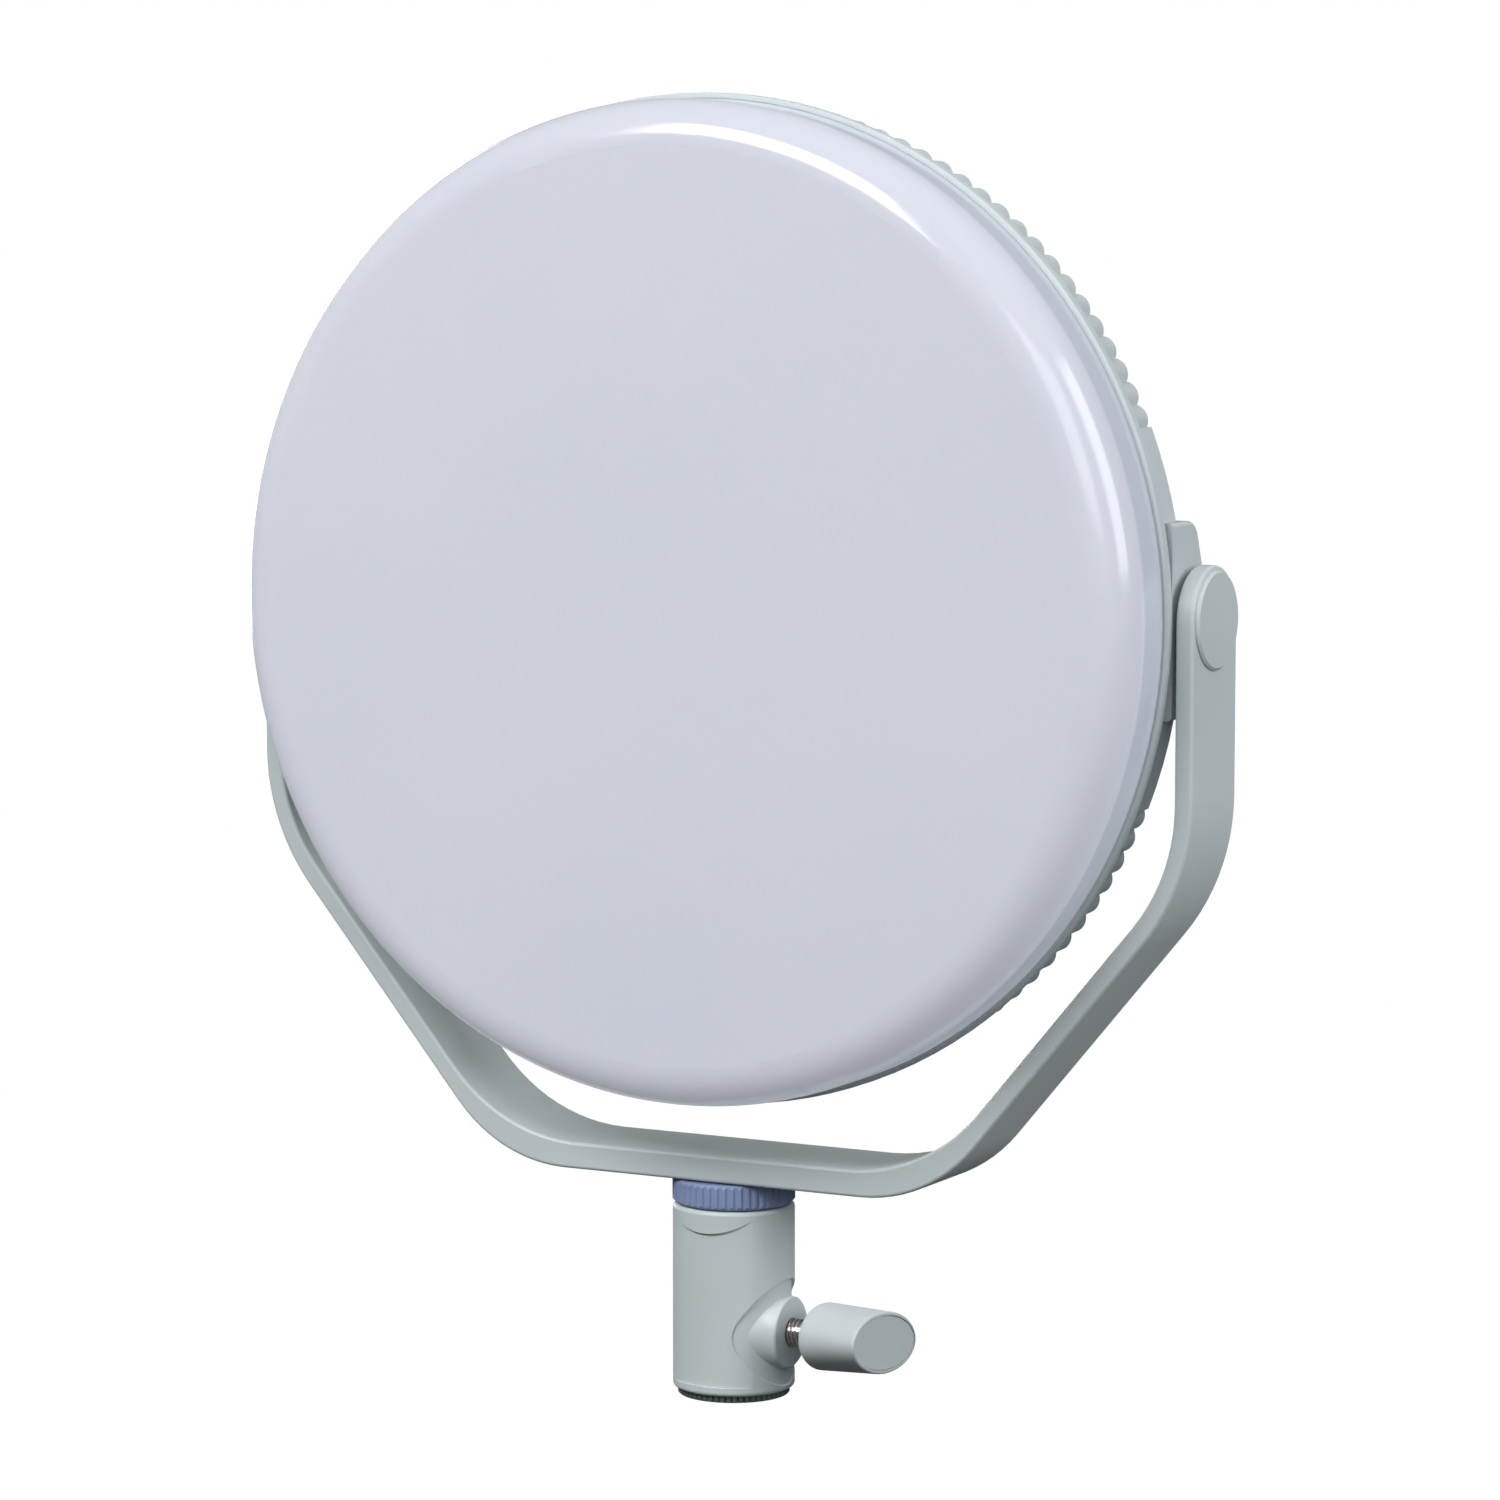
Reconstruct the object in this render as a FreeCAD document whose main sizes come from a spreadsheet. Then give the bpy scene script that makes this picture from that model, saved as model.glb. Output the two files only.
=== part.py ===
import FreeCAD, Part
import math
import os
import Sketcher
from FreeCAD import Placement, Rotation, Vector

# Round LED panel light on a yoke, with a receiver for a 16 mm stand stud.
# Millimetres. X runs from arm to arm, -Y is the way the light shines, Z is up.
# The origin is the centre of the stud bore's mouth, and the bore's axis is Z.

os.makedirs("parts", exist_ok=True)
doc = FreeCAD.newDocument("RoundPanelLight")

# Driving dimensions, one cell each

sizes = [
    # clearances shared by the whole light
    ("seat_gap", 0.05),
    ("running_gap", 0.08),
    ("body_gap", 0.3),
    ("cut_overrun", 1.0),
    # receiver, with the neck that the lock ring turns on
    ("receiver_radius", 17.0),
    ("receiver_foot", 1.9),
    ("receiver_top", 53.8),
    ("receiver_edge", 1.2),
    ("neck_radius", 11.0),
    ("neck_drop", 0.6),
    ("thread_depth", 7.3),
    ("thread_floor_wall", 2.5),
    ("relief_depth", 0.75),
    ("relief_low", 4.4),
    ("relief_margin", 6.2),
    ("relief_smile_radius", 22.0),
    ("relief_fade_angle", 46.0),
    # stud sleeve, seen as a dark serrated rim under the receiver
    ("stud_bore_radius", 8.05),
    ("sleeve_wall", 3.35),
    ("bore_end_wall", 2.0),
    ("flange_inset", 1.4),
    ("flange_edge", 0.3),
    ("serration_depth", 0.55),
    ("serration_width", 0.75),
    ("serration_count", 56),
    # clamp: boss, screw, pressure shoe and paddle knob, all along +X
    ("clamp_height", 18.5),
    ("boss_stand", 1.2),
    ("boss_radius", 10.0),
    ("boss_edge", 0.4),
    ("boss_dish_radius", 14.8),
    ("boss_dish_depth", 0.9),
    ("boss_dish_edge", 0.3),
    ("flare_root_inset", 9.2),
    ("flare_root_radius", 14.2),
    ("flare_middle_inset", 4.6),
    ("flare_middle_radius", 11.15),
    ("flare_end_inset", 0.4),
    ("clamp_screw_radius", 4.0),
    ("shoe_retreat", 0.15),
    ("shoe_length", 6.0),
    ("knob_gap", 8.8),
    ("knob_length", 20.3),
    ("knob_near_width", 28.0),
    ("knob_near_height", 19.0),
    ("knob_far_width", 39.4),
    ("knob_far_height", 17.2),
    ("knob_near_edge", 2.2),
    ("knob_far_edge", 0.7),
    ("knob_rim", 1.0),
    ("knob_recess", 1.7),
    ("knob_cap_thickness", 1.4),
    ("knob_hole_depth", 9.0),
    ("knob_turn", -9.0),
    # blue lock ring
    ("ring_proud", 0.1),
    ("ring_lift", 0.4),
    ("ring_height", 6.9),
    ("ring_chamfer", 0.9),
    ("ring_groove_radius", 0.75),
    ("ring_groove_depth", 0.5),
    ("ring_groove_count", 48),
    # pan bearing through the bar
    ("pan_bolt_radius", 4.0),
    ("pan_head_radius", 6.6),
    ("pan_head_height", 2.2),
    ("pan_socket_radius", 2.6),
    ("pan_socket_depth", 1.3),
    ("pan_bush_wall", 1.2),
    ("pan_flange_radius", 7.6),
    ("pan_flange_thickness", 0.7),
    ("spring_washer_radius", 6.4),
    ("spring_washer_thickness", 0.5),
    ("pan_washer_thickness", 0.7),
    ("pan_pocket_radius", 8.2),
    ("pan_floor", 2.2),
    # yoke strap
    ("bar_thickness", 7.5),
    ("pad_gap", 1.7),
    ("arm_thickness", 5.1),
    ("slant_thickness", 5.5),
    ("slant_corner_drop", 69.5),
    ("slant_angle", 50.0),
    ("high_bend_outside", 60.0),
    ("high_bend_inside", 52.0),
    ("low_bend_outside", 45.0),
    ("low_bend_inside", 52.0),
    ("strap_half_width", 14.5),
    ("strap_edge", 1.0),
    ("cover_half_length", 43.0),
    ("cover_thickness", 1.3),
    ("cover_peg_inset", 9.0),
    ("cover_peg_radius", 1.8),
    ("cover_peg_length", 3.6),
    # pivots, where the head hangs between the arms
    ("head_clearance", 15.4),
    ("pivot_bolt_radius", 4.0),
    ("pivot_head_radius", 8.0),
    ("pivot_head_height", 1.9),
    ("pivot_pocket_radius", 9.4),
    ("pivot_floor", 2.6),
    ("pivot_bolt_reach", 14.5),
    ("pivot_bush_wall", 1.0),
    ("pivot_washer_radius", 9.2),
    ("pivot_insert_radius", 6.2),
    ("pivot_insert_length", 11.0),
    ("pivot_boss_radius", 7.8),
    ("pivot_boss_floor", 2.2),
    ("cap_margin", 1.3),
    ("cap_thickness", 1.1),
    ("cap_edge", 0.6),
    ("cap_skirt_wall", 0.8),
    ("cap_skirt_length", 0.7),
    # diffuser, an opal dish with a flat front and a rounded edge
    ("diffuser_front", 42.0),
    ("rim_width", 1.5),
    ("diffuser_bend", 12.0),
    ("diffuser_wall", 2.4),
    ("tab_half_width", 4.5),
    ("tab_seat", 0.2),
    ("tab_thickness", 2.6),
    ("tab_length", 3.4),
    ("tab_gap", 0.15),
    ("tab_angle", 36.0),
    # housing ring: rim, ribbed side and back shoulder
    ("rim_front", 17.4),
    ("rim_radius", 138.0),
    ("rim_edge", 0.7),
    ("rim_back", 13.6),
    ("rim_groove_depth", 2.6),
    ("rebate_back", 14.4),
    ("rebate_gap", 0.15),
    ("rim_overhang", 1.0),
    ("rib_front", 12.8),
    ("rib_depth", 1.7),
    ("rib_back_depth", 0.9),
    ("rib_count", 124),
    ("rib_limit_angle", 21.5),
    ("shoulder_front", 3.5),
    ("shoulder_front_turn", 0.5),
    ("shoulder_back", 3.0),
    ("shoulder_back_turn", 4.5),
    ("back_edge", 10.0),
    ("back_turn", 12.5),
    ("side_wall", 4.6),
    ("ledge_place", 8.0),
    ("ledge_width", 3.0),
    ("slope_front", 1.0),
    ("slope_turn", 4.9),
    ("back_land", 3.0),
    ("seat_depth", 2.4),
    ("flange_thickness", 2.6),
    ("flange_width", 7.5),
    # pivot pads on the sides of the housing ring
    ("pad_setback", 0.8),
    ("pad_root", 9.4),
    ("pad_half_height", 26.0),
    ("pad_waist_height", 7.0),
    ("pad_back", 10.0),
    ("pad_top_back", 3.0),
    ("pad_front", 12.8),
    ("pad_corner", 6.0),
    ("pad_edge", 1.2),
    # light engine
    ("plate_thickness", 2.0),
    ("plate_gap", 0.2),
    ("board_margin", 4.8),
    ("board_thickness", 1.6),
    ("led_side", 3.0),
    ("led_height", 0.8),
    ("led_ring_pitch", 19.5),
    ("led_ring_count", 6),
    ("led_screw_margin", 20.4),
    ("led_screw_count", 6),
    ("reflector_gap", 0.6),
    ("reflector_lip", 0.8),
    # small screws
    ("small_screw_radius", 1.25),
    ("small_head_radius", 2.4),
    ("small_head_height", 1.1),
    ("small_socket_radius", 0.9),
    # rear cover, a shallow dish with vent slots
    ("dish_back", 14.4),
    ("dish_slope", 6.0),
    ("dish_foot_margin", 2.0),
    ("vent_length", 16.0),
    ("vent_margin", 5.0),
    ("vent_half_width", 1.5),
    ("vent_step_angle", 6.0),
    ("vent_count", 13),
    ("cable_window_half_width", 30.0),
    ("cable_window_half_height", 18.0),
    ("rear_screw_margin", 4.0),
    ("rear_screw_length", 3.4),
    ("rear_screw_count", 8),
    # electronics pod on the back
    ("pod_drop", 5.0),
    ("pod_half_width", 62.0),
    ("pod_half_height", 45.0),
    ("pod_back", 35.0),
    ("pod_corner", 16.0),
    ("pod_edge", 3.0),
    ("pod_wall", 2.4),
    ("pod_post_inset", 7.4),
    ("pod_post_radius", 2.8),
    ("pod_screw_length", 8.0),
    # control panel on the pod's back
    ("panel_margin", 10.0),
    ("panel_corner", 9.0),
    ("panel_thickness", 1.6),
    ("panel_ledge", 2.0),
    ("window_half_width", 23.0),
    ("window_half_height", 11.0),
    ("window_drop", 20.0),
    ("window_corner", 1.5),
    ("window_thickness", 0.9),
    ("window_ledge", 1.5),
    ("dial_inset", 17.0),
    ("dial_foot", 24.0),
    ("dial_radius", 10.5),
    ("dial_height", 11.5),
    ("dial_edge", 1.0),
    ("dial_groove_radius", 0.6),
    ("dial_groove_count", 30),
    ("dial_recess_radius", 7.0),
    ("dial_recess_depth", 0.6),
    ("encoder_half_side", 6.2),
    ("encoder_height", 5.4),
    ("shaft_radius", 3.0),
    ("shaft_grip", 6.0),
    ("encoder_floor", 1.2),
    ("button_spread", 13.0),
    ("button_foot", 15.0),
    ("button_radius", 3.9),
    ("button_edge", 0.5),
    ("button_proud", 1.3),
    ("button_flange_radius", 5.0),
    ("button_flange", 0.9),
    ("button_stem_radius", 1.4),
    ("button_stem", 0.8),
    ("button_travel", 0.6),
    ("switch_half_side", 2.4),
    ("control_board_setback", 6.4),
    ("control_board_side_gap", 12.6),
    ("control_board_foot_gap", 0.6),
    ("control_board_corner", 6.6),
    ("panel_post_inset", 4.4),
    ("panel_post_radius", 2.5),
    ("panel_screw_length", 5.6),
    ("display_thickness", 2.8),
    ("display_side_gap", 0.4),
    ("display_end_gap", 0.2),
    # power switch and sockets under the pod
    ("socket_line", 24.0),
    ("rocker_place", 33.0),
    ("rocker_half_width", 7.2),
    ("rocker_half_depth", 4.6),
    ("rocker_wall", 1.0),
    ("rocker_gap", 0.6),
    ("rocker_lip", 1.3),
    ("rocker_lip_height", 1.0),
    ("rocker_frame_height", 12.0),
    ("rocker_well_depth", 5.6),
    ("rocker_thickness", 5.0),
    ("rocker_proud", 1.2),
    ("rocker_dip", 0.5),
    ("rocker_pin_radius", 0.9),
    ("rocker_pin_depth", 2.0),
    ("inlet_place", 33.0),
    ("inlet_radius", 5.4),
    ("inlet_bore_radius", 2.85),
    ("inlet_bore_depth", 9.5),
    ("inlet_pin_radius", 1.05),
    ("inlet_pin_setback", 1.0),
    ("inlet_flange_radius", 7.4),
    ("inlet_flange_height", 1.2),
    ("inlet_length", 12.0),
    ("usb_half_width", 4.5),
    ("usb_half_height", 1.65),
    ("usb_shell", 0.35),
    ("usb_length", 8.0),
    ("usb_tongue_half_width", 3.4),
    ("usb_tongue_half_height", 0.35),
    ("usb_tongue_setback", 0.8),
    # driver electronics behind the plate
    ("driver_half_width", 50.0),
    ("driver_half_height", 32.0),
    ("driver_standoff", 3.0),
    ("standoff_radius", 3.0),
    ("standoff_inset", 5.0),
    ("coil_radius", 8.0),
    ("coil_core_radius", 3.2),
    ("coil_height", 7.0),
    ("coil_place", 28.0),
    ("capacitor_radius", 4.0),
    ("capacitor_height", 10.0),
    ("capacitor_pitch", 10.0),
    ("capacitor_count", 4),
    ("capacitor_rise", 18.0),
    ("connector_half_width", 7.0),
    ("connector_half_depth", 2.5),
    ("connector_height", 5.0),
    ("connector_spread", 16.0),
    ("connector_drop", 24.0),
]

# Sizes that follow from the driving ones

follows = {
    # receiver, sleeve, knob and lock ring
    "flange_radius": "receiver_radius - flange_inset",
    "sleeve_radius": "stud_bore_radius + sleeve_wall",
    "thread_floor": "receiver_top - thread_depth",
    "sleeve_top": "thread_floor - thread_floor_wall",
    "stud_bore_depth": "sleeve_top - bore_end_wall",
    "relief_high": "receiver_top - relief_margin",
    "boss_reach": "receiver_radius + boss_stand",
    "flare_root": "receiver_radius - flare_root_inset",
    "flare_middle": "receiver_radius - flare_middle_inset",
    "flare_end": "boss_reach - flare_end_inset",
    "knob_near": "boss_reach + knob_gap",
    "knob_far": "knob_near + knob_length",
    "ring_radius": "receiver_radius + ring_proud",
    "ring_bottom": "receiver_top + ring_lift",
    "ring_top": "ring_bottom + ring_height",
    "neck_top": "ring_top - neck_drop",
    # yoke, which clears the head all round
    "bar_bottom": "neck_top + pan_washer_thickness + body_gap",
    "bar_top": "bar_bottom + bar_thickness",
    "pivot_height": "bar_top + head_clearance + rim_radius",
    "slant_corner_height": "pivot_height - slant_corner_drop",
    "pad_outside": "rim_radius - pad_setback",
    "arm_inside": "pad_outside + pad_gap",
    "arm_outside": "arm_inside + arm_thickness",
    "cover_peg_place": "cover_half_length - cover_peg_inset",
    "cap_radius": "strap_half_width - cap_margin",
    # housing ring, from its rim inwards
    "diffuser_radius": "rim_radius - rim_width",
    "rim_groove_radius": "rim_radius - rim_groove_depth",
    "side_radius": "rim_radius - rim_overhang",
    "shoulder_front_radius": "side_radius - shoulder_front_turn",
    "shoulder_back_radius": "side_radius - shoulder_back_turn",
    "back_radius": "side_radius - back_turn",
    "inside_radius": "side_radius - side_wall",
    "ledge_radius": "inside_radius - ledge_width",
    "slope_radius": "ledge_radius - slope_turn",
    "seat_radius": "back_radius - back_land",
    "flange_inner_radius": "seat_radius - flange_width",
    "pad_inside": "inside_radius - pad_root",
    "tab_inside": "inside_radius + tab_seat",
    "tab_outside": "tab_inside + tab_thickness",
    # light engine and rear cover
    "board_radius": "inside_radius - board_margin",
    "led_screw_circle": "board_radius - led_screw_margin",
    "reflector_foot_radius": "board_radius + reflector_gap",
    "rear_screw_circle": "seat_radius - rear_screw_margin",
    "dish_foot_radius": "flange_inner_radius - dish_foot_margin",
    "dish_radius": "dish_foot_radius - dish_slope",
    "vent_outer_radius": "dish_radius - vent_margin",
    "vent_inner_radius": "vent_outer_radius - vent_length",
    # pod, panel and control board
    "pod_post_across": "pod_half_width - pod_post_inset",
    "pod_post_up": "pod_half_height - pod_post_inset",
    "panel_half_width": "pod_half_width - panel_margin",
    "panel_half_height": "pod_half_height - panel_margin",
    "window_rise": "panel_half_height - window_drop",
    "dial_drop": "panel_half_height - dial_foot",
    "button_drop": "panel_half_height - button_foot",
    "dial_spread": "panel_half_width - dial_inset",
    "control_board_half_width": "pod_half_width - control_board_side_gap",
    "control_board_half_height": "pod_half_height - rocker_frame_height - control_board_foot_gap",
    "panel_post_across": "control_board_half_width - panel_post_inset",
    "panel_post_up": "control_board_half_height - panel_post_inset",
    "display_half_width": "window_half_width - display_side_gap",
    "display_half_height": "window_half_height - display_end_gap",
}

sheet = doc.addObject("Spreadsheet::Sheet", "Sizes")
for row, (name, value) in enumerate(sizes, 1):
    sheet.set(f"A{row}", name)
    sheet.set(f"B{row}", str(value))
    sheet.setAlias(f"B{row}", name)
doc.recompute()


def size(name):
    return amount(follows[name]) if name in follows else float(sheet.get(name))


def amount(text):
    """Value of a sum of named sizes, such as "rim_radius - rim_edge"."""
    total = 0.0
    sign = 1
    for word in text.split():
        if word == "+":
            sign = 1
        elif word == "-":
            sign = -1
        elif word != "0":
            total += sign * size(word)
    return total


def formula(text):
    """The same sum as an expression on the sheet."""
    words = []
    for word in text.split():
        if word in follows:
            words.append("(" + formula(follows[word]) + ")")
        else:
            words.append("Sizes." + word if word.isidentifier() else word)
    return " ".join(words)


# Bodies, sketches and features

pieces = []


def new_body(label):
    piece = doc.addObject("PartDesign::Body", label)
    piece.Label = label
    pieces.append(piece)
    return piece


def new_sketch(piece, role, along, lift):
    sketch = piece.newObject("Sketcher::SketchObject", piece.Name + "_sketch")
    base = next(item for item in piece.Origin.OriginFeatures if item.Role == role)
    sketch.AttachmentSupport = [(base, "")]
    sketch.MapMode = "FlatFace"
    sketch.setExpression("AttachmentOffset.Base.z", formula(along))
    sketch.setExpression("AttachmentOffset.Base.y", formula(lift))
    return sketch


def place_point(sketch, index, spot, across, up):
    for axis, kind, text in ((-2, "DistanceX", across), (-1, "DistanceY", up)):
        if text == "0":
            sketch.addConstraint(Sketcher.Constraint("PointOnObject", index, spot, axis))
        else:
            sized = Sketcher.Constraint(kind, -1, 1, index, spot, amount(text))
            number = sketch.addConstraint(sized)
            sketch.setExpression(f"Constraints[{number}]", formula(text))


def outline(piece, role, points, along="0", lift="0"):
    """A closed outline of straight lines whose corners are sums of named sizes."""
    sketch = new_sketch(piece, role, along, lift)
    corners = [Vector(amount(across), amount(up), 0) for across, up in points]
    last = len(corners)
    for index in range(last):
        sketch.addGeometry(Part.LineSegment(corners[index], corners[(index + 1) % last]))
    for index in range(last):
        sketch.addConstraint(Sketcher.Constraint("Coincident", index, 2, (index + 1) % last, 1))
    for index, (across, up) in enumerate(points):
        place_point(sketch, index, 1, across, up)
    return sketch


def block(piece, role, left, right, low, high, along="0", lift="0"):
    points = [(left, low), (right, low), (right, high), (left, high)]
    return outline(piece, role, points, along, lift)


def circles(piece, role, rounds, along="0", lift="0"):
    """Circles, each given as (across, up, radius)."""
    sketch = new_sketch(piece, role, along, lift)
    for index, (across, up, radius) in enumerate(rounds):
        centre = Vector(amount(across), amount(up), 0)
        sketch.addGeometry(Part.Circle(centre, Vector(0, 0, 1), amount(radius)))
        number = sketch.addConstraint(Sketcher.Constraint("Radius", index, amount(radius)))
        sketch.setExpression(f"Constraints[{number}]", formula(radius))
        place_point(sketch, index, 3, across, up)
    return sketch


def feature(piece, kind, sketch):
    made = piece.newObject("PartDesign::" + kind, piece.Name + "_" + kind)
    made.Profile = sketch
    return made


def spin(piece, sketch, axis="V_Axis"):
    made = feature(piece, "Revolution", sketch)
    made.ReferenceAxis = (sketch, [axis])
    made.Angle = 360
    doc.recompute()
    return made


def pad(piece, sketch, length, back=False, both=False):
    made = feature(piece, "Pad", sketch)
    made.setExpression("Length", formula(length))
    made.Reversed = back
    made.Midplane = both
    doc.recompute()
    return made


def cut(piece, sketch, length, back=False, both=False):
    """A pocket, checked to have taken material away."""
    before = piece.Shape.Volume
    made = feature(piece, "Pocket", sketch)
    made.setExpression("Length", formula(length))
    made.Reversed = back
    made.Midplane = both
    doc.recompute()
    if not made.Shape.Volume < before:
        raise RuntimeError(piece.Label + ": a pocket cuts nothing")
    return made


def around(piece, made, role, count):
    """A full circle of copies of a feature about an origin axis."""
    pattern = piece.newObject("PartDesign::PolarPattern", piece.Name + "_pattern")
    pattern.Originals = [made]
    axis = next(item for item in piece.Origin.OriginFeatures if item.Role == role)
    pattern.Axis = (axis, [""])
    pattern.Angle = 360
    pattern.setExpression("Occurrences", formula(count))
    piece.Tip = pattern
    doc.recompute()
    return pattern


def soften(piece, radius, wanted, kind="Fillet"):
    """Rounds or chamfers the edges of the body's tip that a test picks."""
    tip = piece.Tip
    names = [f"Edge{number}" for number, edge in enumerate(tip.Shape.Edges, 1) if wanted(edge)]
    made = piece.newObject("PartDesign::" + kind, piece.Name + "_" + kind)
    made.Base = (tip, names)
    made.setExpression("Radius" if kind == "Fillet" else "Size", formula(radius))
    doc.recompute()
    return made


def put(piece, across="0", along="0", up="0"):
    for axis, text in (("x", across), ("y", along), ("z", up)):
        piece.setExpression("Placement.Base." + axis, formula(text))


def shaped(label, shape, up="0"):
    """A piece whose shape is worked out here from the sheet's values."""
    piece = doc.addObject("Part::Feature", label)
    piece.Label = label
    piece.Shape = shape
    piece.Placement = Placement(Vector(0, 0, amount(up)), Rotation())
    pieces.append(piece)
    return piece


def near(value, text):
    return abs(value - amount(text)) < amount("seat_gap") / 2


def is_round(edge, radius):
    return hasattr(edge.Curve, "Radius") and near(edge.Curve.Radius, radius)


def middle(edge):
    return edge.valueAt((edge.FirstParameter + edge.LastParameter) / 2)


def box(low, high):
    """A box between two corners given as vectors."""
    span = high - low
    return Part.makeBox(span.x, span.y, span.z, low)


def rounded_plate(half_width, half_height, corner, front, back, rise):
    """A plate with rounded corners that faces Y, between two depths."""
    span = Vector(2 * half_width, back - front, 2 * half_height)
    plate = Part.makeBox(span.x, span.y, span.z, Vector(-half_width, front, rise - half_height))
    upright = [edge for edge in plate.Edges if abs(edge.tangentAt(0).y) > 1 - 1e-6]
    return plate.makeFillet(corner, upright)


def rod(radius, start, end):
    """A cylinder between two points."""
    return Part.makeCylinder(radius, (end - start).Length, start, end - start)


# Receiver and stud sleeve

def receiver_shape():
    foot = size("receiver_foot")
    top = size("receiver_top")
    radius = size("receiver_radius")
    height = size("clamp_height")
    up = Vector(0, 0, 1)
    barrel = Part.makeCylinder(radius, top - foot, Vector(0, 0, foot), up)
    # shallow dish round the clamp boss: a skin taken off the barrel, with a softened lip
    around_boss = rod(size("boss_dish_radius"), Vector(0, 0, height), Vector(2 * radius, 0, height))
    core = Part.makeCylinder(amount("receiver_radius - boss_dish_depth"), top - foot, Vector(0, 0, foot), up)
    for plain in (barrel, core):
        plain.rotate(Vector(0, 0, 0), up, 180)
    barrel = barrel.cut(around_boss.cut(core)).removeSplitter().Solids[0]
    lips = [edge for edge in barrel.Edges if edge.BoundBox.XMin > 0 and edge.BoundBox.YLength > radius]
    lip = min(lips, key=lambda edge: edge.Length)
    barrel = barrel.makeFillet(size("boss_dish_edge"), [lip])
    # clamp boss, flaring into the barrel on a hollow curve
    face = size("boss_reach")
    rim = size("boss_radius")
    edge = size("boss_edge")
    root = Vector(size("flare_root"), 0, size("flare_root_radius"))
    waist = Vector(size("flare_middle"), 0, size("flare_middle_radius"))
    shoulder = Vector(size("flare_end"), 0, rim)
    straight = [shoulder, Vector(face - edge, 0, rim), Vector(face, 0, rim - edge), Vector(face, 0, 0),
                Vector(0, 0, 0), Vector(0, 0, root.z), root]
    curve = Part.Arc(root, waist, shoulder).toShape()
    boss = Part.Face(Part.Wire([curve] + Part.makePolygon(straight).Edges))
    boss = boss.revolve(Vector(0, 0, 0), Vector(1, 0, 0), 360)
    boss.translate(Vector(0, 0, height))
    solid = barrel.fuse(boss)
    ends = [edge for edge in solid.Edges if is_round(edge, "receiver_radius")
            and (near(edge.CenterOfMass.z, "receiver_foot") or near(edge.CenterOfMass.z, "receiver_top"))]
    solid = solid.makeFillet(size("receiver_edge"), ends)
    # shallow relief on the front whose upper edge is a smile
    fade = math.radians(size("relief_fade_angle"))
    depth = size("relief_depth")
    shift = depth * (radius - depth / 2) / (radius * (1 - math.cos(fade)) - depth)
    outer = Part.makeCylinder(2 * radius, top, Vector(0, 0, 0), up)
    keep = Part.makeCylinder(radius - depth + shift, top, Vector(0, shift, 0), up)
    smile = size("relief_smile_radius")
    peak = size("relief_high") + smile
    window = Part.makeCylinder(smile, radius, Vector(0, -radius, peak), Vector(0, 1, 0))
    low = size("relief_low")
    reach = radius * math.sin(fade)
    band = box(Vector(-reach, -2 * radius, low), Vector(reach, 0, size("relief_high") + smile / 2))
    solid = solid.cut(outer.cut(keep).common(band).cut(window.fuse(box(
        Vector(-radius, -2 * radius, top), Vector(radius, 0, top + smile)))))
    neck = rod(size("neck_radius"), Vector(0, 0, top - depth), Vector(0, 0, size("neck_top")))
    solid = solid.fuse(neck)
    inner = Part.makeCylinder(amount("sleeve_radius + seat_gap"), size("sleeve_top"), Vector(0, 0, 0), up)
    thread = Part.makeCylinder(amount("pan_bolt_radius + seat_gap"), top,
                               Vector(0, 0, size("thread_floor")), up)
    hole = Part.makeCylinder(amount("clamp_screw_radius + running_gap"), 2 * radius,
                             Vector(0, 0, height), Vector(1, 0, 0))
    return solid.cut(inner).cut(thread).cut(hole).removeSplitter()


shaped("receiver", receiver_shape())

sleeve = new_body("stud_sleeve")
spin(sleeve, outline(sleeve, "XZ_Plane", [
    ("stud_bore_radius", "0"),
    ("flange_radius - flange_edge", "0"),
    ("flange_radius", "flange_edge"),
    ("flange_radius", "receiver_foot - seat_gap"),
    ("sleeve_radius", "receiver_foot - seat_gap"),
    ("sleeve_radius", "sleeve_top - seat_gap"),
    ("0", "sleeve_top - seat_gap"),
    ("0", "stud_bore_depth"),
    ("stud_bore_radius", "stud_bore_depth"),
]))
notch = outline(sleeve, "XY_Plane", [
    ("flange_radius - serration_depth", "0"),
    ("flange_radius + cut_overrun", "serration_width"),
    ("flange_radius + cut_overrun", "- serration_width"),
])
around(sleeve, cut(sleeve, notch, "receiver_foot", back=True), "Z_Axis", "serration_count")
cut(sleeve, circles(sleeve, "YZ_Plane", [("0", "clamp_height", "clamp_screw_radius + running_gap")]),
    "sleeve_radius + cut_overrun", back=True)

# Clamp: the shoe slides along the boss and the screw turns behind it

shoe = new_body("pressure_shoe")
pad(shoe, circles(shoe, "YZ_Plane", [("0", "clamp_height", "clamp_screw_radius")],
                  along="stud_bore_radius + shoe_retreat"), "shoe_length")
soften(shoe, "boss_edge",
       lambda edge: near(edge.CenterOfMass.x, "stud_bore_radius + shoe_retreat"), "Chamfer")

screw = new_body("clamp_screw")
pad(screw, circles(screw, "YZ_Plane", [("0", "clamp_height", "clamp_screw_radius")],
                   along="stud_bore_radius + shoe_retreat + shoe_length + seat_gap"),
    "knob_near + knob_hole_depth - stud_bore_radius - shoe_retreat - shoe_length - seat_gap - seat_gap")


def oval(width, height, reach, inset=0.0):
    """An oval that faces along X, its long axis across the receiver but for the knob's turn."""
    turn = Rotation(Vector(1, 0, 0), size("knob_turn"))
    across = turn.multVec(Vector(0, width / 2 - inset, 0))
    up = turn.multVec(Vector(0, 0, height / 2 - inset))
    centre = Vector(reach, 0, size("clamp_height"))
    curve = Part.Ellipse(centre + across, centre + up, centre)
    return Part.Wire(curve.toShape())


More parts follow.
